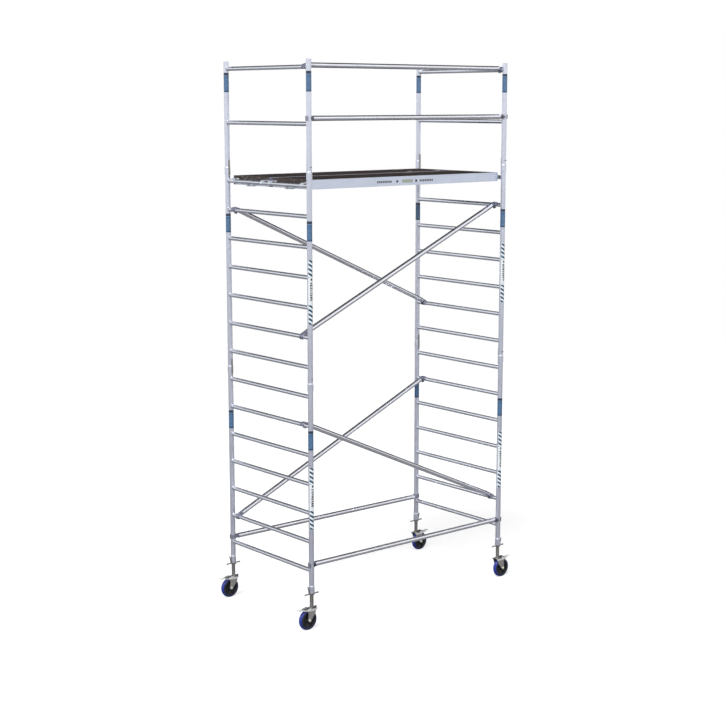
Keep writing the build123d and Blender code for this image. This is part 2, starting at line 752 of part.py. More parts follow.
def wind_lock(depth):
    """Slotted bar that slides under the rung and keeps the deck from lifting."""
    y = depth * (deck_gap / 2 + deck_edge) / 2
    top = beam_bottom - wind_gap
    tip_outer = -half_bay - wind_tip_length / 2
    tip_inner = tip_outer + wind_tip_length
    middle = -(beam_end + panel_end) / 2
    stud_radius = wind_stud_diameter / 2 + running_fit
    far_stud = middle + wind_stud_spacing / 2
    near_stud = middle - wind_stud_spacing / 2
    half = wind_width / 2
    bar = slab(tip_outer, far_stud + stud_radius + wind_tail, y - half, y + half, top - wind_bar, top)
    rung_bottom = rung_z(deck_rung) - rung_radius
    bar += slab(tip_outer, tip_inner, y - half, y + half, top - wind_bar, rung_bottom - wind_tip_gap)
    slot = slab(near_stud - wind_travel, far_stud, y - stud_radius, y + stud_radius,
                top - 2 * wind_bar, top + wind_bar)
    for x in (near_stud - wind_travel, far_stud):
        slot += Pos(x, y, top) * Cylinder(stud_radius, 4 * wind_bar)
    return bar - slot


def deck_frame(depth):
    inner_edge, outer_edge = deck_edges(depth)
    pieces = [side_beam(inner_edge, depth), side_beam(outer_edge, -depth)]
    low, high = sorted(depth * v for v in (deck_gap / 2 + beam_width, deck_edge - beam_width))
    for side in SIDES.values():
        x0, x1 = sorted((side * panel_end, side * beam_end))
        profile = tube_box(x0, x1, low, high, beam_bottom, deck_top, beam_wall, "Y")
        for y in hook_places(depth):
            for spread in (-hook_rivet_spread, hook_rivet_spread):
                place = hook_rivet_place(side, y + spread)
                profile -= place * Cylinder(rivet_hole, 2 * hook_plate + 4 * beam_wall)
        pieces.append(profile)
    return pieces + joists(depth) + wind_studs(depth)


def hook_places(depth):
    return [depth * (deck_gap / 2 + hook_edge_inset), depth * (deck_edge - hook_edge_inset)]


def hook_rivet_place(side, y):
    z = rung_z(deck_rung)
    return Pos(side * (beam_end + hook_plate), y, z) * Rot(0, side * 90, 0)


def deck_hook(side, y):
    """Casting that hangs the deck on the rung."""
    bore = rung_radius + hook_gap
    outer = bore + hook_wall
    reach = half_bay - beam_end
    half = hook_width / 2
    ring_part = Rot(90, 0, 0) * Cylinder(outer, hook_width)
    ring_part -= slab(-2 * outer, 2 * outer, -hook_width, hook_width, -2 * outer, -hook_mouth_drop)
    web = slab(0, reach, -half, half, -rung_radius, outer)
    plate = slab(reach - hook_plate, reach, -hook_plate_width / 2, hook_plate_width / 2,
                 -rung_radius - hook_plate_margin, outer)
    hook = ring_part + web + plate - Rot(90, 0, 0) * Cylinder(bore, 2 * hook_plate_width)
    hook -= slab(-2 * outer, 0, -hook_width, hook_width, -2 * outer, -hook_mouth_drop)
    for spread in (-hook_rivet_spread, hook_rivet_spread):
        hook -= Pos(reach, spread, 0) * Rot(0, 90, 0) * Cylinder(rivet_hole, 4 * hook_plate)
    return Pos(side * half_bay, y, rung_z(deck_rung)) * Rot(0, 0, 0 if side < 0 else 180) * hook


def panel(depth):
    low, high = sorted(depth * v for v in (deck_gap / 2 + beam_width, deck_edge - beam_width))
    sheet = slab(-panel_end + panel_gap, panel_end - panel_gap, low + panel_gap, high - panel_gap,
                 panel_bottom, deck_top)
    if depth > 0:
        x0, x1, _, y1 = hatch_span()
        sheet -= slab(x0 - hatch_gap, x1 + hatch_gap, low - panel_gap, y1 + hatch_gap,
                      panel_bottom - panel_gap, deck_top + panel_gap)
    return sheet


def hinge_axis():
    """Trapdoor hinge axis as (y, z)."""
    return deck_gap / 2 + beam_width + hatch_gap / 2, deck_top + hinge_axis_rise


def knuckle(x, length):
    y, z = hinge_axis()
    barrel = Rot(0, 90, 0) * Cylinder(hinge_knuckle_diameter / 2, length)
    return Pos(x, y, z) * barrel


def hinge_places():
    x0, x1, _, _ = hatch_span()
    return x0 + hinge_inset, x1 - hinge_inset


def hinge_pieces(x):
    """Fixed leaf with its pin, and the moving leaf."""
    y, z = hinge_axis()
    third = hinge_width / 3
    half = hinge_width / 2
    leaf_top = deck_top + hinge_leaf
    fixed = knuckle(x - third, third) + knuckle(x + third, third)
    edge = y - hinge_knuckle_diameter / 2 - hinge_gap
    fixed += slab(x - half, x + half, deck_gap / 2 + beam_wall, edge, deck_top, leaf_top)
    for offset in (-third, third):
        fixed += slab(x + offset - third / 2, x + offset + third / 2, edge - hinge_leaf, y, deck_top, z)
    fixed += Pos(x, y, z) * Rot(0, 90, 0) * Cylinder(hinge_pin_diameter / 2, hinge_width)
    moving = knuckle(x, third - 2 * hinge_gap)
    start = y + hinge_knuckle_diameter / 2 + hinge_gap
    moving += slab(x - third / 2 + hinge_gap, x + third / 2 - hinge_gap, y, start, deck_top + hinge_gap, z)
    moving += slab(x - half, x + half, start, start + hinge_leaf_length, deck_top, leaf_top)
    moving -= Pos(x, y, z) * Rot(0, 90, 0) * Cylinder(hinge_pin_diameter / 2 + running_fit, hinge_width)
    return fixed, moving


def bail_pivot():
    """Lifting bail pivot: middle x, y and z."""
    x0, x1, _, y1 = hatch_span()
    return (x0 + x1) / 2, y1 - bail_edge, deck_top + lug_hole_rise


def hatch_pieces():
    """Trapdoor sheet, its hinge leaves and the lugs of its lifting bail."""
    x0, x1, y0, y1 = hatch_span()
    pieces = [slab(x0, x1, y0, y1, panel_bottom, deck_top)]
    pieces += [hinge_pieces(x)[1] for x in hinge_places()]
    x, y, z = bail_pivot()
    for side in SIDES.values():
        middle = x + side * (bail_width / 2 + lug_width / 2)
        lug = slab(middle - lug_width / 2, middle + lug_width / 2, y - lug_height / 2,
                   y + lug_height / 2, deck_top, deck_top + lug_height)
        pieces.append(lug - Pos(middle, y, z) * Rot(0, 90, 0) * Cylinder(
            bail_diameter / 2 + running_fit, 2 * lug_width))
    return pieces


def bail():
    x, y, z = bail_pivot()
    radius = bail_diameter / 2
    half = bail_width / 2 - radius - bail_side_gap
    handle = Pos(0, -bail_length, 0) * Rot(0, 90, 0) * Cylinder(radius, 2 * half)
    for side in SIDES.values():
        handle += Pos(side * half, 0, 0) * Rot(90, 0, 0) * Cylinder(radius, bail_length, align=FLOOR)
        handle += Pos(side * half, -bail_length, 0) * Sphere(radius)
        handle += Pos(side * half, 0, 0) * Sphere(radius)
        stub = Cylinder(radius, lug_width, align=FLOOR)
        handle += Pos(side * half, 0, 0) * Rot(0, side * 90, 0) * stub
    return Pos(x, y, z) * handle


def make_platform():
    hooks = []
    rivets = []
    for name, depth in DEPTHS.items():
        save(f"deck_frame_{name}", deck_frame(depth))
        save(f"deck_panel_{name}", [panel(depth)])
        save(f"wind_lock_{name}", [wind_lock(depth)])
        for side in SIDES.values():
            for y in hook_places(depth):
                hooks.append(deck_hook(side, y))
                for spread in (-hook_rivet_spread, hook_rivet_spread):
                    rivets.append(hook_rivet_place(side, y + spread) * rivet())
    save("deck_hooks", hooks)
    save("hatch_hinges", [hinge_pieces(x)[0] for x in hinge_places()])
    save("hatch_panel", hatch_pieces())
    save("hatch_bail", [bail()])
    return rivets


os.makedirs("parts", exist_ok=True)
make_frames()
make_locks()
all_rivets = make_castors() + make_braces() + make_platform()
save("rivets", all_rivets)
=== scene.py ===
"""Looks of a mobile tower scaffold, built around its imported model."""

import json
import logging
import math
from dataclasses import dataclass, replace
from enum import Enum
from functools import cache
from typing import Any, Callable, Iterable, Sequence

import bmesh
import bpy
from mathutils import Matrix, Vector
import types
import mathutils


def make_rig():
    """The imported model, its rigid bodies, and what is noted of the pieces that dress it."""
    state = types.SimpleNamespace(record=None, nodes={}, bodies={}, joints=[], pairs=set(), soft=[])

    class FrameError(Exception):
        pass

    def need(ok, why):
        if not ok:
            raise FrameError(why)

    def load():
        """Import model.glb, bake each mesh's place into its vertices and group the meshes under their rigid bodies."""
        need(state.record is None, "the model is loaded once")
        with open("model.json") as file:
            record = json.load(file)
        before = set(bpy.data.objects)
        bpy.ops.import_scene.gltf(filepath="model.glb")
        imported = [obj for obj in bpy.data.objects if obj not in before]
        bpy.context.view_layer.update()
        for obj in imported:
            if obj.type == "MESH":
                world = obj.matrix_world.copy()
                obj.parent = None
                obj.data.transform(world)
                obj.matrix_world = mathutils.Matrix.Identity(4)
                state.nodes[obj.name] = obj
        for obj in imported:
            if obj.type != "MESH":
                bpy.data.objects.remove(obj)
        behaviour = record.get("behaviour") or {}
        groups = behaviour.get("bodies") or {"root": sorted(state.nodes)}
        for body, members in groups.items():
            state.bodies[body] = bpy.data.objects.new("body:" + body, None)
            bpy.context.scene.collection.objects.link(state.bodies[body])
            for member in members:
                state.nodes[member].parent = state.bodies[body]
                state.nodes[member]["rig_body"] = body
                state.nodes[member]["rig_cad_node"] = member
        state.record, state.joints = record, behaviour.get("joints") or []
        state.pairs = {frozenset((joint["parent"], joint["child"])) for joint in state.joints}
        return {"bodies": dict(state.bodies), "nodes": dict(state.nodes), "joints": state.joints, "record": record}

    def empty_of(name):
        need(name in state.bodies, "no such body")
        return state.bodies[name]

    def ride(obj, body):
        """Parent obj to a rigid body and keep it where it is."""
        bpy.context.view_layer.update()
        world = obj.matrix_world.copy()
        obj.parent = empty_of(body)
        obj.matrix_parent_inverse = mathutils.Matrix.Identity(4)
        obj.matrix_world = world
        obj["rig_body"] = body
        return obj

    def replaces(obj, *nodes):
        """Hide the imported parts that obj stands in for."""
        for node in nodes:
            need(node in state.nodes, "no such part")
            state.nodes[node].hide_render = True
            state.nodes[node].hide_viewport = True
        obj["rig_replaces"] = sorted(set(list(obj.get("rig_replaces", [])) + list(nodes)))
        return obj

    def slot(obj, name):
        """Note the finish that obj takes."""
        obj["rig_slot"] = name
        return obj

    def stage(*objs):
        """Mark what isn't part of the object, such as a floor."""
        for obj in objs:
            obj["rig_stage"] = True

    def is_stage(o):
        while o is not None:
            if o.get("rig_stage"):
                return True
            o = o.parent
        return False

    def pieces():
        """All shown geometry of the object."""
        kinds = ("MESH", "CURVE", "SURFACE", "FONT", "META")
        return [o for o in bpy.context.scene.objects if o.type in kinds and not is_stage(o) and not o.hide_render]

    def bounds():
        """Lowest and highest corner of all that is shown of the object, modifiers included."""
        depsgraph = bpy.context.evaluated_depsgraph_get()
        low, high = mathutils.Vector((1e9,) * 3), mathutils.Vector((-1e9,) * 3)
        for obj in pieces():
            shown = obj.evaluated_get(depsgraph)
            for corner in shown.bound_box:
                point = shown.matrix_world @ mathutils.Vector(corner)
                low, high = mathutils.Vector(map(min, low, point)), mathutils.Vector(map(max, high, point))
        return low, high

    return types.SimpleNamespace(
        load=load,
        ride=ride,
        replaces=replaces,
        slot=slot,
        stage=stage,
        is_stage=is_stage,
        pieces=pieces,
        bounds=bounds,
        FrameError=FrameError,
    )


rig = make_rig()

log = logging.getLogger("tower")

Vec = tuple[float, float, float]
Obj = bpy.types.Object
MM = 0.001
SHARP_ANGLE = math.radians(35)
FLAT_ANGLE = math.radians(0.5)
MERGE_DISTANCE = 0.004 * MM
THREAD_FOOT_SHARE = 0.62
THREAD_CREST_SHARE = 0.34
THREAD_OVERLAP = 0.1 * MM
SIDES = {"left": -1, "right": 1}
DEPTHS = {"front": -1, "rear": 1}
CORNERS = [(f"{depth}_{side}", s, d) for depth, d in DEPTHS.items() for side, s in SIDES.items()]


class Along(Enum):
    """The direction in which a metal was drawn, rolled or pressed."""

    X = (0.004, 1.0, 1.0)
    Y = (1.0, 0.004, 1.0)
    Z = (1.0, 1.0, 0.004)
    NONE = (1.0, 1.0, 1.0)


# ---------------------------------------------------------------- shader maths
def arithmetic(operation: str, flipped: bool = False) -> Callable[..., "Sock"]:
    """An operator on shader values.

    Args:
        operation: the Math node's operation.
        flipped: whether the other value comes first.

    Returns:
        The operator's method.
    """
    def apply(value: "Sock", *others: "Sock | float") -> "Sock":
        """Adds the Math node."""
        values = (value, *others)
        return value.shader.math(operation, *(reversed(values) if flipped else values))

    return apply


class Sock:
    """A shader value; arithmetic on it adds Math nodes."""

    def __init__(self, shader: "Shader", link: bpy.types.NodeSocket) -> None:
        """Wraps one output socket of a shader tree.

        Args:
            shader: the tree that the socket is in.
            link: the output socket.
        """
        self.shader = shader
        self.link = link

    __add__ = __radd__ = arithmetic("ADD")
    __mul__ = __rmul__ = arithmetic("MULTIPLY")
    __sub__ = arithmetic("SUBTRACT")
    __rsub__ = arithmetic("SUBTRACT", flipped=True)
    __truediv__ = arithmetic("DIVIDE")
    __abs__ = arithmetic("ABSOLUTE")
    __gt__ = arithmetic("GREATER_THAN")
    __lt__ = arithmetic("LESS_THAN")


class Shader:
    """One material around a Principled shader."""

    def __init__(self, name: str, constants: dict[str, Any]) -> None:
        """Starts a material.

        Args:
            name: the material's name.
            constants: values set on the shader's own sockets.
        """
        self.material = bpy.data.materials.new(name)
        self.material.use_nodes = True
        self.tree = self.material.node_tree
        self.surface = self.tree.nodes["Principled BSDF"]
        for socket, value in constants.items():
            self.surface.inputs[socket].default_value = value

    def node(self, kind: str, settings: dict[str, Any], inputs: dict[Any, Any]) -> bpy.types.Node:
        """Adds one node.

        Args:
            kind: the node's type.
            settings: its properties; "stops" is a ramp's list of place and colour.
            inputs: socket name or number to a value or a Sock.

        Returns:
            The new node.
        """
        made = self.tree.nodes.new(kind)
        stops = settings.pop("stops", ())
        for key, value in settings.items():
            setattr(made, key, value)
        for index, (place, colour) in enumerate(stops):
            ramp = made.color_ramp.elements
            stop = ramp[index] if index < len(ramp) else ramp.new(place)
            stop.position = place
            stop.color = (*colour, 1.0)
        for key, value in inputs.items():
            if isinstance(value, Sock):
                self.tree.links.new(value.link, made.inputs[key])
            else:
                made.inputs[key].default_value = value
        return made

    def math(self, operation: str, *values: "Sock | float") -> Sock:
        """Adds a Math node on one or two values."""
        made = self.node("ShaderNodeMath", {"operation": operation}, dict(enumerate(values)))
        return Sock(self, made.outputs[0])

    def object_place(self, scale: Vec = (1, 1, 1), turn: Vec = (0, 0, 0)) -> Sock:
        """Object coordinates in metres.

        Args:
            scale: factor for each axis.
            turn: rotation in radians, before scaling.

        Returns:
            The place as a vector.
        """
        place = Sock(self, self.node("ShaderNodeTexCoord", {}, {}).outputs["Object"])
        if any(turn):
            turned = self.node("ShaderNodeMapping", {}, {"Vector": place, "Rotation": turn})
            place = Sock(self, turned.outputs[0])
        made = self.node("ShaderNodeMapping", {}, {"Vector": place, "Scale": scale})
        return Sock(self, made.outputs[0])

    def uv(self) -> tuple[Sock, Sock]:
        """The piece's own flat coordinates, in metres."""
        place = Sock(self, self.node("ShaderNodeTexCoord", {}, {}).outputs["UV"])
        parts = self.node("ShaderNodeSeparateXYZ", {}, {0: place}).outputs
        return Sock(self, parts[0]), Sock(self, parts[1])

    def xyz(self, place: Sock) -> list[Sock]:
        """The three parts of a vector."""
        parts = self.node("ShaderNodeSeparateXYZ", {}, {0: place}).outputs
        return [Sock(self, part) for part in parts]

    def facing(self) -> list[Sock]:
        """The three parts of the surface's outward direction."""
        normal = self.node("ShaderNodeTexCoord", {}, {}).outputs["Normal"]
        return self.xyz(Sock(self, normal))

    def noise(self, place: Sock, scale: float, detail: float = 3.0) -> Sock:
        """Smooth noise from 0 to 1.

        Args:
            place: where to read it.
            scale: lumps per metre.
            detail: octaves.

        Returns:
            The noise.
        """
        inputs = {"Vector": place, "Scale": scale, "Detail": detail}
        return Sock(self, self.node("ShaderNodeTexNoise", {}, inputs).outputs[0])

    def cells(self, place: Sock, scale: float, feature: str) -> Sock:
        """Cell pattern: the distance that the named Voronoi feature gives."""
        made = self.node("ShaderNodeTexVoronoi", {"feature": feature}, {"Vector": place, "Scale": scale})
        return Sock(self, made.outputs["Distance"])

    def remap(self, value: Sock, start: float, end: float, low: float = 0.0, high: float = 1.0) -> Sock:
        """Carries a value from one range to another, without going past it.

        Args:
            value: what to carry.
            start: value that gives low.
            end: value that gives high.
            low: result at start.
            high: result at end.

        Returns:
            The carried value.
        """
        inputs = {0: value, 1: start, 2: end, 3: low, 4: high}
        return Sock(self, self.node("ShaderNodeMapRange", {"clamp": True}, inputs).outputs[0])

    def band(self, value: Sock, middle: float, half: float, soft: float) -> Sock:
        """1 within half of the middle, falling to 0 over soft."""
        return self.remap(abs(value - middle), half, half + soft, 1.0, 0.0)

    def mix(self, share: Sock, first: "Sock | Vec", second: "Sock | Vec") -> Sock:
        """Mixes two colours.

        Args:
            share: 0 for the first colour, 1 for the second.
            first: a colour or a Sock.
            second: a colour or a Sock.

        Returns:
            The mixed colour.
        """
        colours = [c if isinstance(c, Sock) else (*c, 1.0) for c in (first, second)]
        made = self.node("ShaderNodeMix", {"data_type": "RGBA"}, {0: share, 6: colours[0], 7: colours[1]})
        return Sock(self, made.outputs[2])

    def feed(self, **inputs: Sock) -> None:
        """Links values to the shader's sockets; an underscore in a name stands for a space."""
        for key, value in inputs.items():
            self.tree.links.new(value.link, self.surface.inputs[key.replace("_", " ")])

    def bump(self, height: Sock, depth: float) -> None:
        """Raises the surface's shading.

        Args:
            height: 0 to 1.
            depth: metres between 0 and 1.
        """
        made = self.node("ShaderNodeBump", {}, {"Height": height, "Distance": depth})
        self.feed(Normal=Sock(self, made.outputs[0]))


class Surroundings(Shader):
    """The world around a Background shader."""

    def __init__(self, name: str) -> None:
        """Starts a world of that name."""
        self.material = bpy.data.worlds.new(name)
        self.material.use_nodes = True
        self.tree = self.material.node_tree
        self.surface = self.tree.nodes["Background"]


def shade(colour: Vec, factor: float) -> Vec:
    """A colour made darker or lighter by a factor."""
    return tuple(part * factor for part in colour)


# ---------------------------------------------------------------- finishes
@dataclass(frozen=True)
class Metal:
    """A bare or plated metal with drawing lines, dull patches and handling marks."""

    name: str
    colour: Vec
    along: Along = Along.NONE
    tilt: float = 0.0
    roughness: float = 0.38
    patches: float = 0.10
    lines_per_metre: float = 700.0
    depth: float = 0.05 * MM
    metallic: float = 1.0

    def make(self) -> bpy.types.Material:
        """Builds the material."""
        shader = Shader(self.name, {"Metallic": self.metallic})
        drawn = shader.object_place(self.along.value, (0, self.tilt, 0))
        plain = shader.object_place()
        lines = shader.noise(drawn, self.lines_per_metre, 2.0)
        cloud = shader.noise(plain, 5.0, 4.0)
        marks = shader.remap(shader.noise(plain, 70.0, 5.0), 0.60, 0.72)
        dull = shader.remap(cloud, 0.35, 0.70)
        streak = shader.remap(lines, 0.30, 0.70)
        tone = shader.mix(dull, self.colour, shade(self.colour, 1.0 - self.patches))
        tone = shader.mix(streak * 0.5, tone, shade(self.colour, 1.08))
        tone = shader.mix(marks * 0.25, tone, shade(self.colour, 0.72))
        rough = self.roughness + dull * 0.10 + marks * 0.12 - streak * 0.06
        shader.feed(Base_Color=tone, Roughness=rough)
        shader.bump(lines + marks * 0.5, self.depth)
        return shader.material


@dataclass(frozen=True)
class Casting:
    """Cast metal with a sandy skin, darker in its pits."""

    name: str
    colour: Vec
    roughness: float = 0.48
    grain: float = 900.0
    depth: float = 0.22 * MM
    metallic: float = 0.9

    def make(self) -> bpy.types.Material:
        """Builds the material."""
        shader = Shader(self.name, {"Metallic": self.metallic})
        place = shader.object_place()
        sand = shader.noise(place, self.grain, 4.0)
        stain = shader.remap(shader.noise(place, 28.0, 4.0), 0.42, 0.68)
        pits = shader.remap(shader.cells(place, self.grain * 0.5, "F1"), 0.10, 0.32)
        tone = shader.mix(stain, self.colour, shade(self.colour, 0.74))
        tone = shader.mix((1 - pits) * 0.5, tone, shade(self.colour, 0.45))
        shader.feed(Base_Color=tone, Roughness=self.roughness + stain * 0.12 - pits * 0.06)
        shader.bump(sand * 0.6 + pits * 0.4, self.depth)
        return shader.material


@dataclass(frozen=True)
class Zinc:
    """Zinc plate with its crystal pattern and grey bloom."""

    name: str
    colour: Vec
    roughness: float = 0.36
    crystals: float = 160.0
    bloom: float = 0.35
    metallic: float = 0.95

    def make(self) -> bpy.types.Material:
        """Builds the material."""
        shader = Shader(self.name, {"Metallic": self.metallic})
        place = shader.object_place()
        crystal = shader.cells(place, self.crystals, "SMOOTH_F1")
        haze = shader.remap(shader.noise(place, 22.0, 5.0), 0.40, 0.70)
        fine = shader.noise(place, 1200.0, 3.0)
        spangle = shader.remap(crystal, 0.15, 0.75)
        tone = shader.mix(spangle, shade(self.colour, 1.12), shade(self.colour, 0.80))
        tone = shader.mix(haze * self.bloom, tone, (0.50, 0.50, 0.48))
        shader.feed(Base_Color=tone, Roughness=self.roughness + haze * 0.16 + crystal * 0.08)
        shader.bump(fine * 0.4 + crystal * 0.6, 0.05 * MM)
        return shader.material


@dataclass(frozen=True)
class Polymer:
    """Moulded plastic, rubber or coated surface with fine grain and scuffs."""

    name: str
    colour: Vec
    scuff: Vec
    roughness: float = 0.45
    grain: float = 1500.0
    depth: float = 0.04 * MM
    scuffed: float = 0.35
    coat: float = 0.0

    def make(self) -> bpy.types.Material:
        """Builds the material."""
        shader = Shader(self.name, {"Coat Weight": self.coat, "Coat Roughness": 0.12})
        place = shader.object_place()
        grain = shader.noise(place, self.grain, 3.0)
        dust = shader.remap(shader.noise(place, 35.0, 6.0), 0.48, 0.72)
        scratch = shader.remap(shader.noise(shader.object_place((1.0, 0.12, 0.6)), 420.0, 2.0), 0.66, 0.72)
        tone = shader.mix(shader.remap(grain, 0.3, 0.7) * 0.3, self.colour, shade(self.colour, 1.35))
        tone = shader.mix(dust * self.scuffed, tone, self.scuff)
        tone = shader.mix(scratch * self.scuffed, tone, shade(self.scuff, 1.3))
        shader.feed(Base_Color=tone, Roughness=self.roughness + dust * 0.20)
        shader.bump(grain + scratch * 0.4, self.depth)
        return shader.material


@dataclass(frozen=True)
class Tread(Polymer):
    """Elastic tyre rubber: dusty where it rolls, with a mould line round its middle and dark side walls."""

    wall: Vec = (0.016, 0.021, 0.056)
    wall_start: float = 18.5 * MM
    wall_end: float = 21.7 * MM
    radius: float = 0.1

    def make(self) -> bpy.types.Material:
        """Builds the material; it reads flat coordinates: across the tread, and out from the axle."""
        gloss = {"Specular IOR Level": 0.45, "Coat Weight": self.coat, "Coat Roughness": 0.2}
        shader = Shader(self.name, gloss)
        across, out = shader.uv()
        place = shader.object_place()
        grain = shader.noise(place, self.grain, 3.0)
        dust = shader.remap(shader.noise(place, 60.0, 6.0), 0.40, 0.70)
        rolling = shader.remap(out, self.radius - 4 * MM, self.radius - 0.5 * MM)
        tone = shader.mix(shader.remap(grain, 0.3, 0.7) * 0.4, self.colour, shade(self.colour, 1.5))
        tone = shader.mix(shader.remap(abs(across), self.wall_start, self.wall_end), tone, self.wall)
        tone = shader.mix(dust * (0.12 + rolling * self.scuffed), tone, self.scuff)
        seam = shader.band(across, 0.0, 0.3 * MM, 0.3 * MM)
        shader.feed(Base_Color=tone, Roughness=self.roughness + dust * 0.12 + rolling * 0.10)
        shader.bump(grain * 0.3 + seam, 0.25 * MM)
        return shader.material


@dataclass(frozen=True)
class MeshPly:
    """Film-faced plywood: a pressed wire pattern on its faces and plies on its edges."""

    name: str
    film: Vec = (0.019, 0.015, 0.0145)
    worn: Vec = (0.052, 0.034, 0.031)
    ply: Vec = (0.33, 0.20, 0.105)
    glue: Vec = (0.10, 0.055, 0.03)
    wires_per_metre: float = 150.0
    ply_thickness: float = 1.5 * MM

    def make(self) -> bpy.types.Material:
        """Builds the material."""
        shader = Shader(self.name, {"Specular IOR Level": 0.06})
        place = shader.object_place()
        x, y, z = shader.xyz(place)
        weave = []
        for first, second in ((x + y * 0.55, 1), (x - y * 0.55, -1)):
            wave = shader.math("FRACT", first * self.wires_per_metre)
            weave.append(shader.band(wave, 0.5, 0.10, 0.16))
        wires = shader.math("MAXIMUM", *weave)
        foot = shader.remap(shader.noise(place, 3.0, 5.0), 0.40, 0.68)
        grit = shader.noise(place, 800.0, 3.0)
        face = shader.mix(foot * 0.55, self.film, self.worn)
        face = shader.mix(wires * 0.35, face, shade(self.worn, 1.5))
        layer = shader.band(shader.math("FRACT", z / self.ply_thickness), 0.5, 0.30, 0.08)
        fibre = shader.noise(shader.object_place((0.05, 0.05, 1.0)), 900.0, 3.0)
        edge = shader.mix(layer, self.glue, self.ply)
        edge = shader.mix(fibre * 0.5, edge, shade(self.ply, 0.6))
        up = abs(shader.facing()[2])
        tone = shader.mix(up > 0.5, edge, face)
        shader.feed(Base_Color=tone, Roughness=0.62 + foot * 0.18 - wires * 0.06)
        shader.bump(wires * 0.8 + grit * 0.2, 0.35 * MM)
        return shader.material


@dataclass(frozen=True)
class DarkBandAluminium:
    """Bare aluminium that turns dark brown, matte and not metallic above a wavy line on its upper part."""

    name: str
    # Colour of the dark brown band on the upper part.
    coat: Vec = (0.045, 0.034, 0.031)
    bare: Vec = (0.78, 0.84, 0.98)
    edge: float = 4.221

    def make(self) -> bpy.types.Material:
        """Builds the material."""
        shader = Shader(self.name, {"Specular IOR Level": 0.3})
        place = shader.object_place()
        height = shader.xyz(place)[2]
        grit = shader.noise(place, 900.0, 3.0)
        worn = shader.remap(shader.noise(place, 55.0, 5.0), 0.60, 0.72)
        line = self.edge + (shader.noise(place, 30.0, 2.0) - 0.5) * (2 * MM)
        # Above the wavy line the colour is dark brown, matte and not metallic; in patches this dark band is only half
        # as strong.
        coated = (height > line) * (1 - worn * 0.5)
        metal = shader.mix(shader.noise(place, 6.0, 3.0), self.bare, shade(self.bare, 0.90))
        dark = shader.mix(grit * 0.5, self.coat, shade(self.coat, 1.8))
        shader.feed(Base_Color=shader.mix(coated, metal, dark), Metallic=1 - coated,
                    Roughness=0.42 + coated * 0.25)
        shader.bump(grit * coated, 0.2 * MM)
        return shader.material


@dataclass(frozen=True)
class BlueLabel:
    """Printed wrap-round label: blue body, dark top strip, dark ends and rows of pale dashes."""

    name: str
    height: float
    body: Vec = (0.050, 0.145, 0.300)
    dark: Vec = (0.020, 0.045, 0.085)
    pale: Vec = (0.50, 0.58, 0.68)
    row: float = 9.0 * MM

    def make(self) -> bpy.types.Material:
        """Builds the material."""
        shader = Shader(self.name, {"Coat Weight": 0.25, "Coat Roughness": 0.15})
        u, v = shader.uv()
        place = shader.object_place()
        rub = shader.remap(shader.noise(place, 45.0, 5.0), 0.45, 0.75)
        row = shader.band(shader.math("FRACT", v / self.row), 0.5, 0.12, 0.05)
        dash = shader.noise(shader.object_place((1.0, 1.0, 0.25)), 260.0, 0.0) > 0.47
        inside = shader.band(v, self.height * 0.42, self.height * 0.30, 1 * MM)
        column = shader.math("FRACT", u / (40 * MM)) > 0.25
        head = v > self.height * 0.86
        foot = v < self.height * 0.05
        line = shader.band(v, self.height * 0.845, 1.6 * MM, 0.4 * MM)
        tone = shader.mix(rub * 0.35, self.body, shade(self.body, 1.45))
        tone = shader.mix(row * dash * inside * column * 0.55, tone, self.pale)
        tone = shader.mix(line * 0.6, tone, self.pale)
        tone = shader.mix(head + foot, tone, self.dark)
        shader.feed(Base_Color=tone, Roughness=0.34 + rub * 0.2)
        shader.bump(shader.noise(place, 500.0, 2.0), 0.03 * MM)
        return shader.material


@dataclass(frozen=True)
class StripeLabel:
    """Long white label with slanted stripes at both ends and a plain row of marks between."""

    name: str
    height: float
    width: float
    ground: Vec = (0.90, 0.96, 1.0)
    stripe: Vec = (0.012, 0.070, 0.150)
    mark: Vec = (0.020, 0.018, 0.026)
    pitch: float = 42.0 * MM
    slant: float = 0.62
    top_stripes: float = 168.0 * MM
    foot_stripes: float = 188.0 * MM
    margin: float = 2.5 * MM
    disc_drop: float = 184.0 * MM
    disc_radius: float = 11.0 * MM
    marks_low: float = 222.0 * MM
    marks_high: float = 398.0 * MM
    beat: float = 22.0 * MM

    def make(self) -> bpy.types.Material:
        """Builds the material."""
        shader = Shader(self.name, {"Coat Weight": 0.2, "Coat Roughness": 0.2})
        u, v = shader.uv()
        slope = shader.math("FRACT", (v + u * self.slant) / self.pitch)
        bars = shader.band(slope, 0.5, 0.24, 0.02)
        half_top, half_foot = self.top_stripes / 2, self.foot_stripes / 2
        top = shader.band(v, self.height - half_top, half_top - self.margin, 0.4 * MM)
        foot = shader.band(v, half_foot, half_foot - self.margin, 0.4 * MM)
        across = shader.band(u, self.width * 0.5, self.width * 0.5 - self.margin, 0.4 * MM)
        marks = shader.band(u, self.width * 0.50, self.width * 0.21, 0.4 * MM)
        reach = (self.marks_high - self.marks_low) / 2
        middle = shader.band(v, self.marks_low + reach, reach, 0.5 * MM)
        beats = shader.math("FRACT", v / self.beat) > 0.26
        nick = shader.noise(shader.object_place(), 90.0, 0.0) < 0.62
        aside = shader.math("POWER", u - self.width * 0.52, 2.0)
        below = shader.math("POWER", v - (self.height - self.disc_drop), 2.0)
        disc = aside + below < self.disc_radius ** 2
        dirt = shader.remap(shader.noise(shader.object_place(), 40.0, 5.0), 0.5, 0.8)
        tone = shader.mix(dirt * 0.25, self.ground, shade(self.ground, 0.80))
        tone = shader.mix(bars * (top + foot) * across, tone, self.stripe)
        tone = shader.mix(marks * middle * beats * nick, tone, self.mark)
        tone = shader.mix(disc, tone, self.mark)
        shader.feed(Base_Color=tone, Roughness=0.40 + dirt * 0.2)
        shader.bump(shader.noise(shader.object_place(), 500.0, 2.0), 0.03 * MM)
        return shader.material


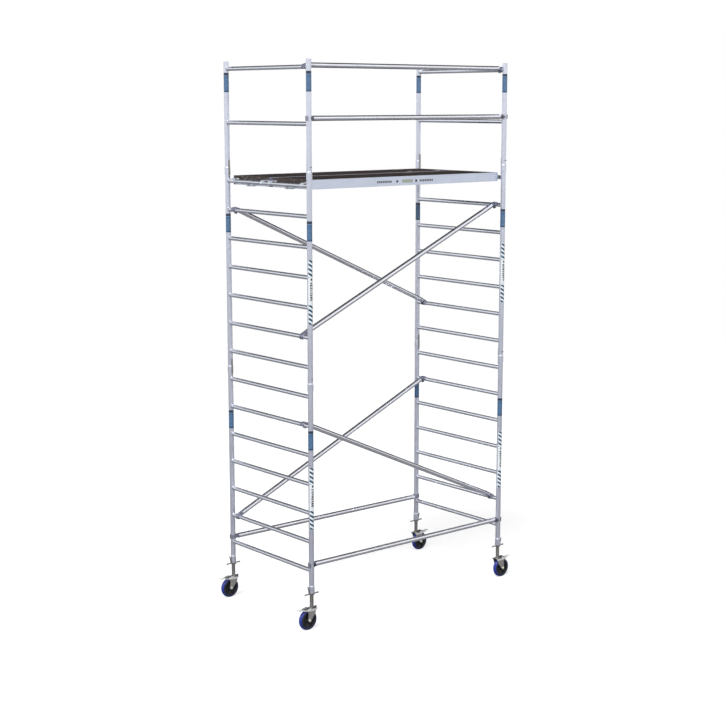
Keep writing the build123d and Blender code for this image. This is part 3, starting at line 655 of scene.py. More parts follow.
LEG = Metal("leg_aluminium", (0.80, 0.83, 0.95), Along.Z, roughness=0.42, patches=0.06)
RUNG = Metal("rung_aluminium", (0.84, 0.87, 0.96), Along.Y, roughness=0.17)
BRACE = Metal("brace_aluminium", (0.88, 0.89, 0.96), Along.X, roughness=0.20)
BEAM = Metal("beam_aluminium", (0.78, 0.84, 0.98), Along.X, roughness=0.42, patches=0.05)
WELD = Metal("weld_aluminium", (0.70, 0.71, 0.76), roughness=0.30, depth=0.15 * MM)
CLAW = Casting("cast_aluminium", (0.42, 0.43, 0.53))
END = DarkBandAluminium("end_dark_band")
HOOK = Casting("hook_aluminium", (0.86, 0.93, 1.0), roughness=0.36, metallic=0.55)
NUT = Casting("nut_iron", (0.34, 0.335, 0.32), grain=700.0)
STEEL = Zinc("zinc_steel", (0.40, 0.39, 0.375))
DARK_STEEL = Zinc("lever_steel", (0.17, 0.165, 0.20), roughness=0.42)
FORK = Zinc("fork_steel", (0.52, 0.505, 0.485), roughness=0.40)
# The axle bolt's near-white, barely metallic colour is a painted highlight: it stands in for the bright spot of light
# on the bolt end.
BOLT_PAINTED_HIGHLIGHT = Zinc("bolt_steel", (0.98, 0.96, 0.84), roughness=0.34, bloom=0.15, metallic=0.35)
RIVET = Metal("rivet_steel", (0.55, 0.56, 0.60), roughness=0.30)
PEDAL = Polymer("pedal_coat", (0.76, 0.77, 0.78), (0.30, 0.27, 0.24), coat=0.3)
HUB = Polymer("hub_nylon", (0.014, 0.015, 0.018), (0.09, 0.09, 0.095), roughness=0.38)
CAP = Polymer("cap_plastic", (0.11, 0.10, 0.17), (0.25, 0.24, 0.28), roughness=0.5)
TYRE = Tread("tyre_rubber", (0.010, 0.030, 0.33), (0.13, 0.14, 0.20), roughness=0.36, coat=0.15)
INK = Polymer("print_ink", (0.035, 0.035, 0.045), (0.20, 0.20, 0.22), scuffed=0.5)
PALE_INK = Polymer("pale_label", (0.40, 0.43, 0.38), (0.58, 0.62, 0.58))
PLY = MeshPly("deck_plywood")


# ---------------------------------------------------------------- meshes
def new_object(name: str, mesh: bpy.types.Mesh) -> Obj:
    """Puts a mesh in the scene under a name."""
    made = bpy.data.objects.new(name, mesh)
    bpy.context.scene.collection.objects.link(made)
    return made


def smooth(mesh: bpy.types.Mesh) -> None:
    """Shades a mesh smoothly, except over its sharp edges."""
    mesh.shade_smooth()
    mesh.set_sharp_from_angle(angle=SHARP_ANGLE)


def mesh_from(name: str, shape: bmesh.types.BMesh) -> bpy.types.Mesh:
    """Turns a bmesh into a mesh with outward faces."""
    bmesh.ops.recalc_face_normals(shape, faces=shape.faces)
    mesh = bpy.data.meshes.new(name)
    shape.to_mesh(mesh)
    shape.free()
    smooth(mesh)
    return mesh


def lathe(name: str, profile: Sequence[tuple[float, float]], steps: int, start: float = 0.0,
          sweep: float = math.tau) -> bpy.types.Mesh:
    """Turns a closed profile round the Z axis.

    Its flat coordinates are the distance round the profile's radius, and the height; a part
    turn is closed with a flat face at each end.

    Args:
        name: the mesh's name.
        profile: points of radius and height, the last joined to the first.
        steps: divisions of the sweep.
        start: angle of the first section, in radians.
        sweep: angle turned through.

    Returns:
        The mesh.
    """
    shape = bmesh.new()
    flat = shape.loops.layers.uv.new("flat")
    whole = sweep > math.tau - 1e-6
    turns = [start + sweep * i / steps for i in range(steps if whole else steps + 1)]
    rings = [[shape.verts.new((r * math.cos(a), r * math.sin(a), h)) for r, h in profile] for a in turns]
    count = len(profile)
    radius = max(r for r, _ in profile)
    for i in range(steps):
        near, far = rings[i], rings[(i + 1) % len(rings)]
        for j in range(count):
            k = (j + 1) % count
            face = shape.faces.new((near[j], far[j], far[k], near[k]))
            across = [i, i + 1, i + 1, i]
            for loop, step in zip(face.loops, across):
                loop[flat].uv = (radius * sweep * step / steps, loop.vert.co.z)
    if not whole:
        shape.faces.new(rings[0])
        shape.faces.new(list(reversed(rings[-1])))
    return mesh_from(name, shape)


def joined(name: str, meshes: Iterable[bpy.types.Mesh]) -> bpy.types.Mesh:
    """Joins meshes into one and smooths it."""
    shape = bmesh.new()
    for mesh in meshes:
        shape.from_mesh(mesh)
    made = bpy.data.meshes.new(name)
    shape.to_mesh(made)
    shape.free()
    smooth(made)
    return made


def cad_copy(node: Obj) -> bmesh.types.BMesh:
    """A CAD node's mesh with its loose triangles merged and its flat faces made whole."""
    shape = bmesh.new()
    shape.from_mesh(node.data)
    bmesh.ops.remove_doubles(shape, verts=shape.verts, dist=MERGE_DISTANCE)
    bmesh.ops.dissolve_limit(shape, angle_limit=FLAT_ANGLE, verts=shape.verts, edges=shape.edges)
    return shape


def plain_mesh(piece: Obj, name: str) -> Obj:
    """Replaces an object that has modifiers with a plain mesh object of that name."""
    bpy.context.view_layer.update()
    seen = piece.evaluated_get(bpy.context.evaluated_depsgraph_get())
    mesh = bpy.data.meshes.new_from_object(seen)
    bpy.data.objects.remove(piece)
    mesh.name = name
    return new_object(name, mesh)


def box_mesh(name: str, low: Vec, high: Vec, rounding: float = 0.0) -> bpy.types.Mesh:
    """A block between two corners.

    Args:
        name: the mesh's name.
        low: its lowest corner.
        high: its highest corner.
        rounding: bevel of its edges.

    Returns:
        The mesh.
    """
    shape = bmesh.new()
    bmesh.ops.create_cube(shape, size=1.0)
    for vert in shape.verts:
        vert.co = Vector((a + (b - a) * (c + 0.5) for a, b, c in zip(low, high, vert.co)))
    if rounding:
        bmesh.ops.bevel(shape, geom=shape.edges[:], offset=rounding, segments=2, affect="EDGES",
                        profile=0.5, clamp_overlap=True)
    return mesh_from(name, shape)


def moved(mesh: bpy.types.Mesh, matrix: Matrix) -> bpy.types.Mesh:
    """The mesh, carried by a matrix."""
    mesh.transform(matrix)
    return mesh


# ---------------------------------------------------------------- geometry trees
class Tree:
    """A Geometry Nodes tree with named inputs."""

    def __init__(self, name: str, sizes: dict[str, float]) -> None:
        """Starts the tree.

        Args:
            name: the tree's name.
            sizes: its named inputs and their first values.
        """
        self.group = bpy.data.node_groups.new(name, "GeometryNodeTree")
        face = self.group.interface
        face.new_socket("Geometry", in_out="OUTPUT", socket_type="NodeSocketGeometry")
        face.new_socket("Geometry", in_out="INPUT", socket_type="NodeSocketGeometry")
        self.sizes = sizes
        self.ids = {}
        for key, value in sizes.items():
            kind = "NodeSocketInt" if isinstance(value, int) else "NodeSocketFloat"
            made = face.new_socket(key, in_out="INPUT", socket_type=kind)
            made.default_value = value
            self.ids[key] = made.identifier
        self.source = self.group.nodes.new("NodeGroupInput")

    def node(self, kind: str, settings: dict[str, Any], inputs: dict[Any, Any]) -> bpy.types.NodeOutputs:
        """Adds one node.

        Args:
            kind: the node's type.
            settings: its properties.
            inputs: socket name or number to a value or an output socket.

        Returns:
            The node's outputs.
        """
        made = self.group.nodes.new("GeometryNode" + kind if kind[0] != "_" else kind[1:])
        for key, value in settings.items():
            setattr(made, key, value)
        for key, value in inputs.items():
            if isinstance(value, bpy.types.NodeSocket):
                self.group.links.new(value, made.inputs[key])
            else:
                made.inputs[key].default_value = value
        return made.outputs

    def size(self, name: str) -> bpy.types.NodeSocket:
        """The socket of a named input."""
        return self.source.outputs[name]

    def math(self, operation: str, *values: Any) -> bpy.types.NodeSocket:
        """Adds a Math node on one or two values."""
        return self.node("_ShaderNodeMath", {"operation": operation}, dict(enumerate(values)))[0]

    def vector(self, x: Any = 0.0, y: Any = 0.0, z: Any = 0.0) -> bpy.types.NodeSocket:
        """A vector from three parts."""
        return self.node("_ShaderNodeCombineXYZ", {}, {0: x, 1: y, 2: z})[0]

    def times(self, first: Any, second: Any) -> bpy.types.NodeSocket:
        """Product of two values."""
        return self.math("MULTIPLY", first, second)

    def circle(self, steps: int, radius: Any) -> bpy.types.NodeSocket:
        """A circle as a curve."""
        return self.node("CurvePrimitiveCircle", {}, {"Resolution": steps, "Radius": radius})["Curve"]

    def swept(self, curve: bpy.types.NodeSocket, section: bpy.types.NodeSocket,
              caps: bool = False) -> bpy.types.NodeSocket:
        """A section carried along a curve."""
        inputs = {"Curve": curve, "Profile Curve": section, "Fill Caps": caps}
        return self.node("CurveToMesh", {}, inputs)[0]

    def copies(self, points: bpy.types.NodeSocket, shape: bpy.types.NodeSocket,
               **inputs: Any) -> bpy.types.NodeSocket:
        """A copy of a shape on each point."""
        return self.node("InstanceOnPoints", {}, {"Points": points, "Instance": shape, **inputs})[0]

    def place(self) -> bpy.types.NodeOutputs:
        """The three parts of each point's position."""
        spot = self.node("InputPosition", {}, {})[0]
        return self.node("_ShaderNodeSeparateXYZ", {}, {0: spot})

    def close(self, geometry: bpy.types.NodeSocket, material: bpy.types.Material) -> "Tree":
        """Ends the tree in plain geometry that wears a material."""
        real = self.node("RealizeInstances", {}, {0: geometry})[0]
        flat = self.node("SetShadeSmooth", {}, {0: real})[0]
        worn = self.node("SetMaterial", {}, {"Geometry": flat, "Material": material})[0]
        end = self.group.nodes.new("NodeGroupOutput")
        self.group.links.new(worn, end.inputs[0])
        return self

    def run(self, name: str, mesh: bpy.types.Mesh, **values: float) -> Obj:
        """Runs the tree on a mesh.

        Args:
            name: the result's name.
            mesh: what the tree starts from.
            values: named inputs that differ from the first values.

        Returns:
            A plain mesh object.
        """
        piece = new_object(name + "_draft", mesh)
        modifier = piece.modifiers.new("tree", "NODES")
        modifier.node_group = self.group
        for key, value in {**self.sizes, **values}.items():
            modifier[self.ids[key]] = value
        return plain_mesh(piece, name)


def points_mesh(name: str, points: Iterable[Vec], joined_pairs: bool = False) -> bpy.types.Mesh:
    """A mesh of loose points, or of one edge for each two points."""
    spots = list(points)
    edges = [(i, i + 1) for i in range(0, len(spots), 2)] if joined_pairs else []
    mesh = bpy.data.meshes.new(name)
    mesh.from_pydata(spots, edges, [])
    return mesh


def weld_tree(material: bpy.types.Material, rung_radius: float, leg_radius: float) -> Tree:
    """Fillet welds where a rung meets a leg; each point is where their axes meet."""
    tree = Tree("weld_bead", {"Bead radius": 2.6 * MM, "Ripple": 0.5 * MM, "Ripples per metre": 260.0})
    loop = tree.circle(36, rung_radius + 0.6 * MM)
    x, y, _ = tree.place()
    depth = tree.math("SQRT", tree.math("SUBTRACT", leg_radius ** 2, tree.times(x, x)))
    saddle = tree.node("SetPosition", {}, {"Geometry": loop, "Position": tree.vector(x, depth, y)})[0]
    section = tree.circle(6, tree.size("Bead radius"))
    bead = tree.swept(saddle, section)
    side = tree.math("GREATER_THAN", tree.place()[1], 0.0)
    turn = tree.vector(z=tree.times(side, math.pi))
    spots = tree.copies(tree.source.outputs[0], bead, Rotation=turn)
    real = tree.node("RealizeInstances", {}, {0: spots})[0]
    noise = tree.node("_ShaderNodeTexNoise", {}, {"Scale": tree.size("Ripples per metre"), "Detail": 1.0})[0]
    lift = tree.times(tree.math("SUBTRACT", noise, 0.5), tree.size("Ripple"))
    normal = tree.node("InputNormal", {}, {})[0]
    offset = tree.node("_ShaderNodeVectorMath", {"operation": "SCALE"}, {0: normal, "Scale": lift})[0]
    return tree.close(tree.node("SetPosition", {}, {"Geometry": real, "Offset": offset})[0], material)


def rib_tree(material: bpy.types.Material) -> Tree:
    """Fine grip ribs along the top of each rung; each point is the middle of a rung."""
    tree = Tree("rung_ribs", {"Ribs": 9, "Rung radius": 20.0 * MM, "Rib radius": 0.7 * MM,
                              "Length": 1.2, "Spread": math.radians(110)})
    half = tree.times(tree.size("Length"), 0.5)
    line = tree.node("CurvePrimitiveLine", {}, {
        "Start": tree.vector(y=tree.times(half, -1.0)), "End": tree.vector(y=half)})[0]
    section = tree.circle(6, tree.size("Rib radius"))
    rib = tree.swept(line, section, True)
    row = tree.node("MeshLine", {}, {"Count": tree.size("Ribs"), "Offset": (0, 0, 0)})[0]
    last = tree.math("SUBTRACT", tree.size("Ribs"), 1.0)
    share = tree.math("DIVIDE", tree.node("InputIndex", {}, {})[0], last)
    angle = tree.times(tree.math("SUBTRACT", share, 0.5), tree.size("Spread"))
    spot = tree.vector(
        tree.times(tree.math("SINE", angle), tree.size("Rung radius")), 0.0,
        tree.times(tree.math("COSINE", angle), tree.size("Rung radius")))
    arc = tree.node("SetPosition", {}, {"Geometry": row, "Position": spot})[0]
    ribs = tree.copies(arc, rib)
    all_ribs = tree.copies(tree.source.outputs[0], ribs)
    return tree.close(all_ribs, material)


def head_tree(material: bpy.types.Material) -> Tree:
    """Low domed heads in rows; each edge of the source is a row."""
    tree = Tree("head_rows", {"Pitch": 150.0 * MM, "Head radius": 5.0 * MM, "Head height": 1.2 * MM})
    rows = tree.node("MeshToCurve", {}, {"Mesh": tree.source.outputs[0]})[0]
    spots = tree.node("ResampleCurve", {"mode": "LENGTH"}, {"Curve": rows, "Length": tree.size("Pitch")})[0]
    ball = tree.node("MeshUVSphere", {}, {"Segments": 14, "Rings": 8, "Radius": 1.0})[0]
    scale = tree.vector(tree.size("Head radius"), tree.size("Head radius"), tree.size("Head height"))
    heads = tree.copies(spots, ball, Scale=scale)
    return tree.close(heads, material)


def thread_tree(material: bpy.types.Material) -> Tree:
    """Thread on a core, wound left-handed; the source point is the foot of its axis."""
    tree = Tree("screw_thread", {"Outer radius": 18.0 * MM, "Core radius": 16.0 * MM, "Lead": 8.0 * MM,
                                 "Length": 0.26})
    turns = tree.math("DIVIDE", tree.size("Length"), tree.size("Lead"))
    middle = tree.times(tree.math("ADD", tree.size("Outer radius"), tree.size("Core radius")), 0.5)
    coil = tree.node("CurveSpiral", {}, {
        "Resolution": 28, "Rotations": turns, "Start Radius": middle, "End Radius": middle,
        "Height": tree.size("Length"), "Reverse": False})[0]
    upright = tree.node("SetCurveNormal", {"mode": "Z_UP"}, {0: coil})[0]
    section = tree.node("CurvePrimitiveQuadrilateral", {"mode": "TRAPEZOID"}, {
        "Height": tree.math("SUBTRACT", tree.size("Outer radius"), tree.size("Core radius")),
        "Bottom Width": tree.times(tree.size("Lead"), THREAD_FOOT_SHARE),
        "Top Width": tree.times(tree.size("Lead"), THREAD_CREST_SHARE), "Offset": 0.0})[0]
    coil_mesh = tree.swept(upright, section, True)
    core = tree.node("MeshCylinder", {}, {
        "Vertices": 48, "Radius": tree.math("ADD", tree.size("Core radius"), THREAD_OVERLAP),
        "Depth": tree.size("Length")})[0]
    lift = tree.vector(z=tree.times(tree.size("Length"), 0.5))
    core = tree.node("Transform", {}, {"Geometry": core, "Translation": lift})[0]
    both = tree.node("JoinGeometry", {}, {})
    for part in (coil_mesh, core):
        tree.group.links.new(part, tree.group.nodes[-1].inputs[0])
    screw = tree.copies(tree.source.outputs[0], both[0])
    return tree.close(screw, material)


def wheel_rib_tree(material: bpy.types.Material) -> Tree:
    """Copies of a rib round the Z axis."""
    tree = Tree("wheel_ribs", {"Ribs": 6})
    row = tree.node("MeshLine", {}, {"Count": tree.size("Ribs"), "Offset": (0, 0, 0)})[0]
    share = tree.math("DIVIDE", tree.node("InputIndex", {}, {})[0], tree.size("Ribs"))
    turn = tree.vector(z=tree.times(share, math.tau))
    ribs = tree.copies(row, tree.source.outputs[0], Rotation=turn)
    return tree.close(ribs, material)


# ---------------------------------------------------------------- the loaded model
@cache
def material(finish: Any) -> bpy.types.Material:
    """A finish's material, made once."""
    return finish.make()


def coat(piece: Obj, *finishes: Any) -> None:
    """Gives an object its finishes, one for each material slot."""
    piece.data.materials.clear()
    for finish in finishes:
        piece.data.materials.append(material(finish))


class Model:
    """The loaded frame, and the way that finishes and pieces are put on it."""

    def __init__(self) -> None:
        """Loads the frame and keeps its size."""
        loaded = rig.load()
        self.nodes = loaded["nodes"]
        self.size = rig.bounds()

    def dress(self, name: str, *finishes: Any, choose: Callable[[Vector], int] | None = None) -> None:
        """Gives a CAD node its finishes.

        Args:
            name: the node.
            finishes: one for each material slot.
            choose: gives a face's slot from its centre, where there is more than one.
        """
        node = self.nodes[name]
        coat(node, *finishes)
        if choose:
            for face in node.data.polygons:
                face.material_index = choose(face.center)
        log.info("dressed %s", name)

    def add(self, piece: Obj, body: str, slot: str, *finishes: Any, hides: Sequence[str] = ()) -> None:
        """Puts a new piece on a body.

        Args:
            piece: the finished piece.
            body: the body that it moves with.
            slot: its material slot in the record.
            finishes: its finishes, if it doesn't wear them yet.
            hides: CAD nodes that it stands for.
        """
        if finishes:
            coat(piece, *finishes)
        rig.ride(piece, body)
        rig.slot(piece, slot)
        if hides:
            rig.replaces(piece, *hides)
        log.info("added %s on %s, %d faces", piece.name, body, len(piece.data.polygons))

    def add_joined(self, name: str, meshes: Iterable[bpy.types.Mesh], slot: str, finish: Any) -> None:
        """Joins meshes into one new piece on the standing tower."""
        self.add(new_object(name, joined(name, meshes)), "root", slot, finish)

    def write_sizes(self, path: str) -> None:
        """Writes the CAD box and the visual model's box."""
        boxes = {"cad": self.size, "visual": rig.bounds()}
        with open(path, "w") as out:
            json.dump({key: [list(corner) for corner in box] for key, box in boxes.items()}, out)


# ---------------------------------------------------------------- ladder frames
@dataclass
class LadderFrames:
    """The six ladder frames: their welds, grip ribs, locks, guides and labels."""

    leg_radius: float = 25.0 * MM
    rung_radius: float = 20.0 * MM
    leg_zone: tuple[float, float] = (30.0 * MM, 30.5 * MM)
    half_bay: float = 1.25
    half_width: float = 0.645
    first_rung: float = 0.577
    pitch: float = 0.28
    rungs: int = 14
    guard_rungs: tuple[float, float] = (4.777, 5.287)
    rib_root: float = 19.55 * MM
    rib_length: float = 1.226
    label_gap: float = 0.03 * MM
    label_thickness: float = 0.2 * MM
    label_feet: tuple[float, ...] = (1.753, 3.714, 5.066)
    label: BlueLabel = BlueLabel("leg_label", 0.184)
    stripe_feet: tuple[float, ...] = (0.982, 2.940)
    stripe_turn: float = math.radians(150)
    stripe: StripeLabel = StripeLabel("stripe_label", 0.606, 66.0 * MM)

    def rung_heights(self) -> list[float]:
        """Height of each rung's axis."""
        return [self.first_rung + self.pitch * i for i in range(self.rungs)] + list(self.guard_rungs)

    def legs(self) -> list[tuple[float, float]]:
        """Place of each leg's axis."""
        return [(s * self.half_bay, d * self.half_width) for _, s, d in CORNERS]

    def part_of(self, place: Vector) -> int:
        """0 for a face of a leg, 1 for a face of a rung."""
        off_x = abs(abs(place.x) - self.half_bay)
        off_y = abs(abs(place.y) - self.half_width)
        return 0 if off_x < self.leg_zone[0] and off_y < self.leg_zone[1] else 1

    def band(self, feet: Sequence[float], height: float, legs: Sequence[tuple[float, float]],
             turn: float, steps: int) -> list[bpy.types.Mesh]:
        """Thin shells round the legs.

        Args:
            feet: their lowest heights.
            height: their height.
            legs: the legs that wear them.
            turn: how far they go round, in radians.
            steps: divisions round the leg.

        Returns:
            One mesh for each shell.
        """
        inner = self.leg_radius + self.label_gap
        outer = inner + self.label_thickness
        profile = [(inner, 0.0), (outer, 0.0), (outer, height), (inner, height)]
        start = -math.pi / 2 - turn / 2
        shells = []
        for x, y in legs:
            for foot in feet:
                shell = lathe("label", profile, steps, start, turn)
                shells.append(moved(shell, Matrix.Translation((x, y, foot))))
        return shells

    def build(self, model: Model) -> None:
        """Dresses the frames and adds their details."""
        for name in SIDES:
            for level in ("lower", "upper", "guard"):
                model.dress(f"{level}_frame_{name}", LEG, RUNG, choose=self.part_of)
        heights = self.rung_heights()
        joints = points_mesh("weld_spots", [(x, y, z) for x, y in self.legs() for z in heights])
        welds = weld_tree(material(WELD), self.rung_radius, self.leg_radius).run("rung_welds", joints)
        model.add(welds, "root", "frame_tube")
        spots = [(s * self.half_bay, 0.0, z) for s in SIDES.values() for z in heights]
        middles = points_mesh("rung_spots", spots)
        ribs = rib_tree(material(RUNG)).run("rung_ribs", middles, **{
            "Rung radius": self.rib_root, "Length": self.rib_length})
        model.add(ribs, "root", "frame_tube")
        labels = self.band(self.label_feet, self.label.height, self.legs(), math.tau, 72)
        model.add_joined("leg_labels", labels, "guide_plastic", self.label)
        front = [leg for leg in self.legs() if leg[1] < 0]
        stripes = self.band(self.stripe_feet, self.stripe.height, front, self.stripe_turn, 28)
        model.add_joined("stripe_labels", stripes, "guide_plastic", self.stripe)
        for name, _, _ in CORNERS:
            for level in ("lower", "upper"):
                model.dress(f"frame_lock_{level}_{name}", STEEL)
        model.dress("spindle_guides", CAP)
        model.dress("rivets", RIVET)


# ---------------------------------------------------------------- castors
@dataclass
class Castor:
    """One castor with its tyre, hub, levelling screw, fork and brake."""

    name: str
    side: int
    depth: int
    half_bay: float = 1.25
    half_width: float = 0.645
    trail: float = 50.0 * MM
    radius: float = 100.0 * MM
    screw_radius: float = 18.0 * MM
    core_radius: float = 16.2 * MM
    thread_foot: float = 216.0 * MM
    thread_length: float = 0.40
    ear_half_width: float = 14.0 * MM
    ear_reach: tuple[float, float] = (-62.0 * MM, 56.0 * MM)
    ear_height: float = 205.0 * MM
    rib_low: Vec = (20.0 * MM, -1.5 * MM, -19.5 * MM)
    rib_high: Vec = (66.5 * MM, 1.5 * MM, 19.5 * MM)
    rib_rounding: float = 0.6 * MM
    stem_margin: float = 4.0 * MM
    surface_margin: float = 0.2 * MM
    half_tyre: tuple[tuple[float, float], ...] = (
        (75.3, 0.0), (75.3, 20.0), (76.6, 21.6), (79.0, 21.9), (84.6, 21.9), (85.6, 21.3), (86.6, 21.1),
        (87.8, 21.3), (89.4, 20.9), (92.4, 19.2), (95.2, 16.4), (97.4, 12.9), (98.9, 8.8), (99.7, 4.5),
        (99.95, 0.0))
    half_hub: tuple[tuple[float, float], ...] = (
        (8.2, 26.0), (19.4, 26.0), (21.4, 24.6), (22.4, 7.0), (24.0, 5.0), (62.0, 4.0), (65.0, 5.6),
        (66.4, 19.6), (67.8, 21.4), (69.4, 21.9), (73.6, 21.9), (74.9, 20.6))

    def corner(self) -> Matrix:
        """The castor's own place and direction."""
        place = Matrix.Translation((self.side * self.half_bay, self.depth * self.half_width, 0))
        return place @ Matrix.Rotation(math.pi if self.side > 0 else 0.0, 4, "Z")

    def axle(self) -> Matrix:
        """The axle: its Z axis lies along the tower's Y axis."""
        return self.corner() @ Matrix.Translation((-self.trail, 0, self.radius)) @ Matrix.Rotation(
            math.pi / 2, 4, "X")

    def section(self, half: Sequence[tuple[float, float]]) -> list[tuple[float, float]]:
        """A closed profile in metres from its upper half in millimetres."""
        upper = [(r * MM, h * MM) for r, h in half]
        return upper + [(r, -h) for r, h in reversed(upper) if h > 0]

    def tyre(self, model: Model) -> None:
        """Makes the tyre; its flat coordinates are across the tread and out from the axle."""
        mesh = lathe("tyre", self.section(self.half_tyre), 96)
        flat = mesh.uv_layers[0].data
        for loop, spot in zip(mesh.loops, flat):
            place = mesh.vertices[loop.vertex_index].co
            spot.uv = (place.z, math.hypot(place.x, place.y))
        piece = new_object(f"soft_tyre_{self.name}", moved(mesh, self.axle()))
        model.add(piece, f"wheel_{self.name}", "tread_rubber", TYRE, hides=(f"tyre_{self.name}",))

    def hub(self, model: Model) -> None:
        """Makes the hub and its ribs."""
        body = lathe("hub", self.section(self.half_hub), 72)
        rib = box_mesh("rib", self.rib_low, self.rib_high, self.rib_rounding)
        ribs = wheel_rib_tree(material(HUB)).run("hub_ribs", rib)
        whole = joined("hub", (body, ribs.data))
        bpy.data.objects.remove(ribs)
        piece = new_object(f"moulded_hub_{self.name}", moved(whole, self.axle()))
        model.add(piece, f"wheel_{self.name}", "hub_plastic", HUB, hides=(f"wheel_hub_{self.name}",))

    def screw(self, model: Model) -> None:
        """Makes the levelling screw: its stem pared to the thread's core, and the thread."""
        to_corner = self.corner().inverted()
        shape = cad_copy(model.nodes[f"spindle_{self.name}"])
        for vert in shape.verts:
            place = to_corner @ vert.co
            out = math.hypot(place.x, place.y)
            threaded = place.z > self.thread_foot - self.stem_margin
            if threaded and abs(out - self.screw_radius) < self.surface_margin:
                pared = Vector((place.x, place.y, 0)) * (self.core_radius / out)
                vert.co = self.corner() @ Vector((pared.x, pared.y, place.z))
        stem = bpy.data.meshes.new("stem")
        shape.to_mesh(stem)
        shape.free()
        foot = self.corner() @ Vector((0, 0, self.thread_foot))
        tree = thread_tree(material(STEEL))
        thread = tree.run("thread", points_mesh("foot", [tuple(foot)]), **{
            "Outer radius": self.screw_radius, "Core radius": self.core_radius, "Length": self.thread_length})
        whole = joined(f"levelling_screw_{self.name}", (stem, thread.data))
        bpy.data.objects.remove(thread)
        model.add(new_object(f"levelling_screw_{self.name}", whole), f"levelling_{self.name}", "zinc_steel",
                  STEEL, hides=(f"spindle_{self.name}",))

    def ear_or_pedal(self, place: Vector) -> int:
        """1 for a face of the brake's narrow ears, 0 for its other faces."""
        own = self.corner().inverted() @ place
        return int(abs(own.y) < self.ear_half_width and self.ear_reach[0] < own.x < self.ear_reach[1]
                   and own.z > self.ear_height)

    def build(self, model: Model) -> None:
        """Makes the wheel and screw, and dresses the rest."""
        self.tyre(model)
        self.hub(model)
        self.screw(model)
        model.dress(f"castor_fork_{self.name}", FORK)
        # The axle bolts wear the near-white painted highlight.
        model.dress(f"axle_bolt_{self.name}", BOLT_PAINTED_HIGHLIGHT)
        model.dress(f"adjusting_nut_{self.name}", NUT)
        model.dress(f"brake_pedal_{self.name}", PEDAL, DARK_STEEL, choose=self.ear_or_pedal)


# ---------------------------------------------------------------- braces
@dataclass
class Braces:
    """Horizontal and diagonal braces with their claws and latches."""

    slope: float = math.radians(24.13)

    def build(self, model: Model) -> None:
        """Dresses the braces; the two diagonals of a level climb in opposite directions."""
        for name in ("bottom_braces", "guardrails"):
            model.dress(name, BRACE)
        rising = replace(BRACE, name="rising_brace_aluminium", tilt=self.slope)
        falling = replace(BRACE, name="falling_brace_aluminium", tilt=-self.slope)
        model.dress("upper_diagonals", rising, falling, choose=lambda place: int(place.y > 0))
        model.dress("lower_diagonals", falling, rising, choose=lambda place: int(place.y > 0))
        model.dress("brace_claws", CLAW)
        model.dress("claw_latches", DARK_STEEL)


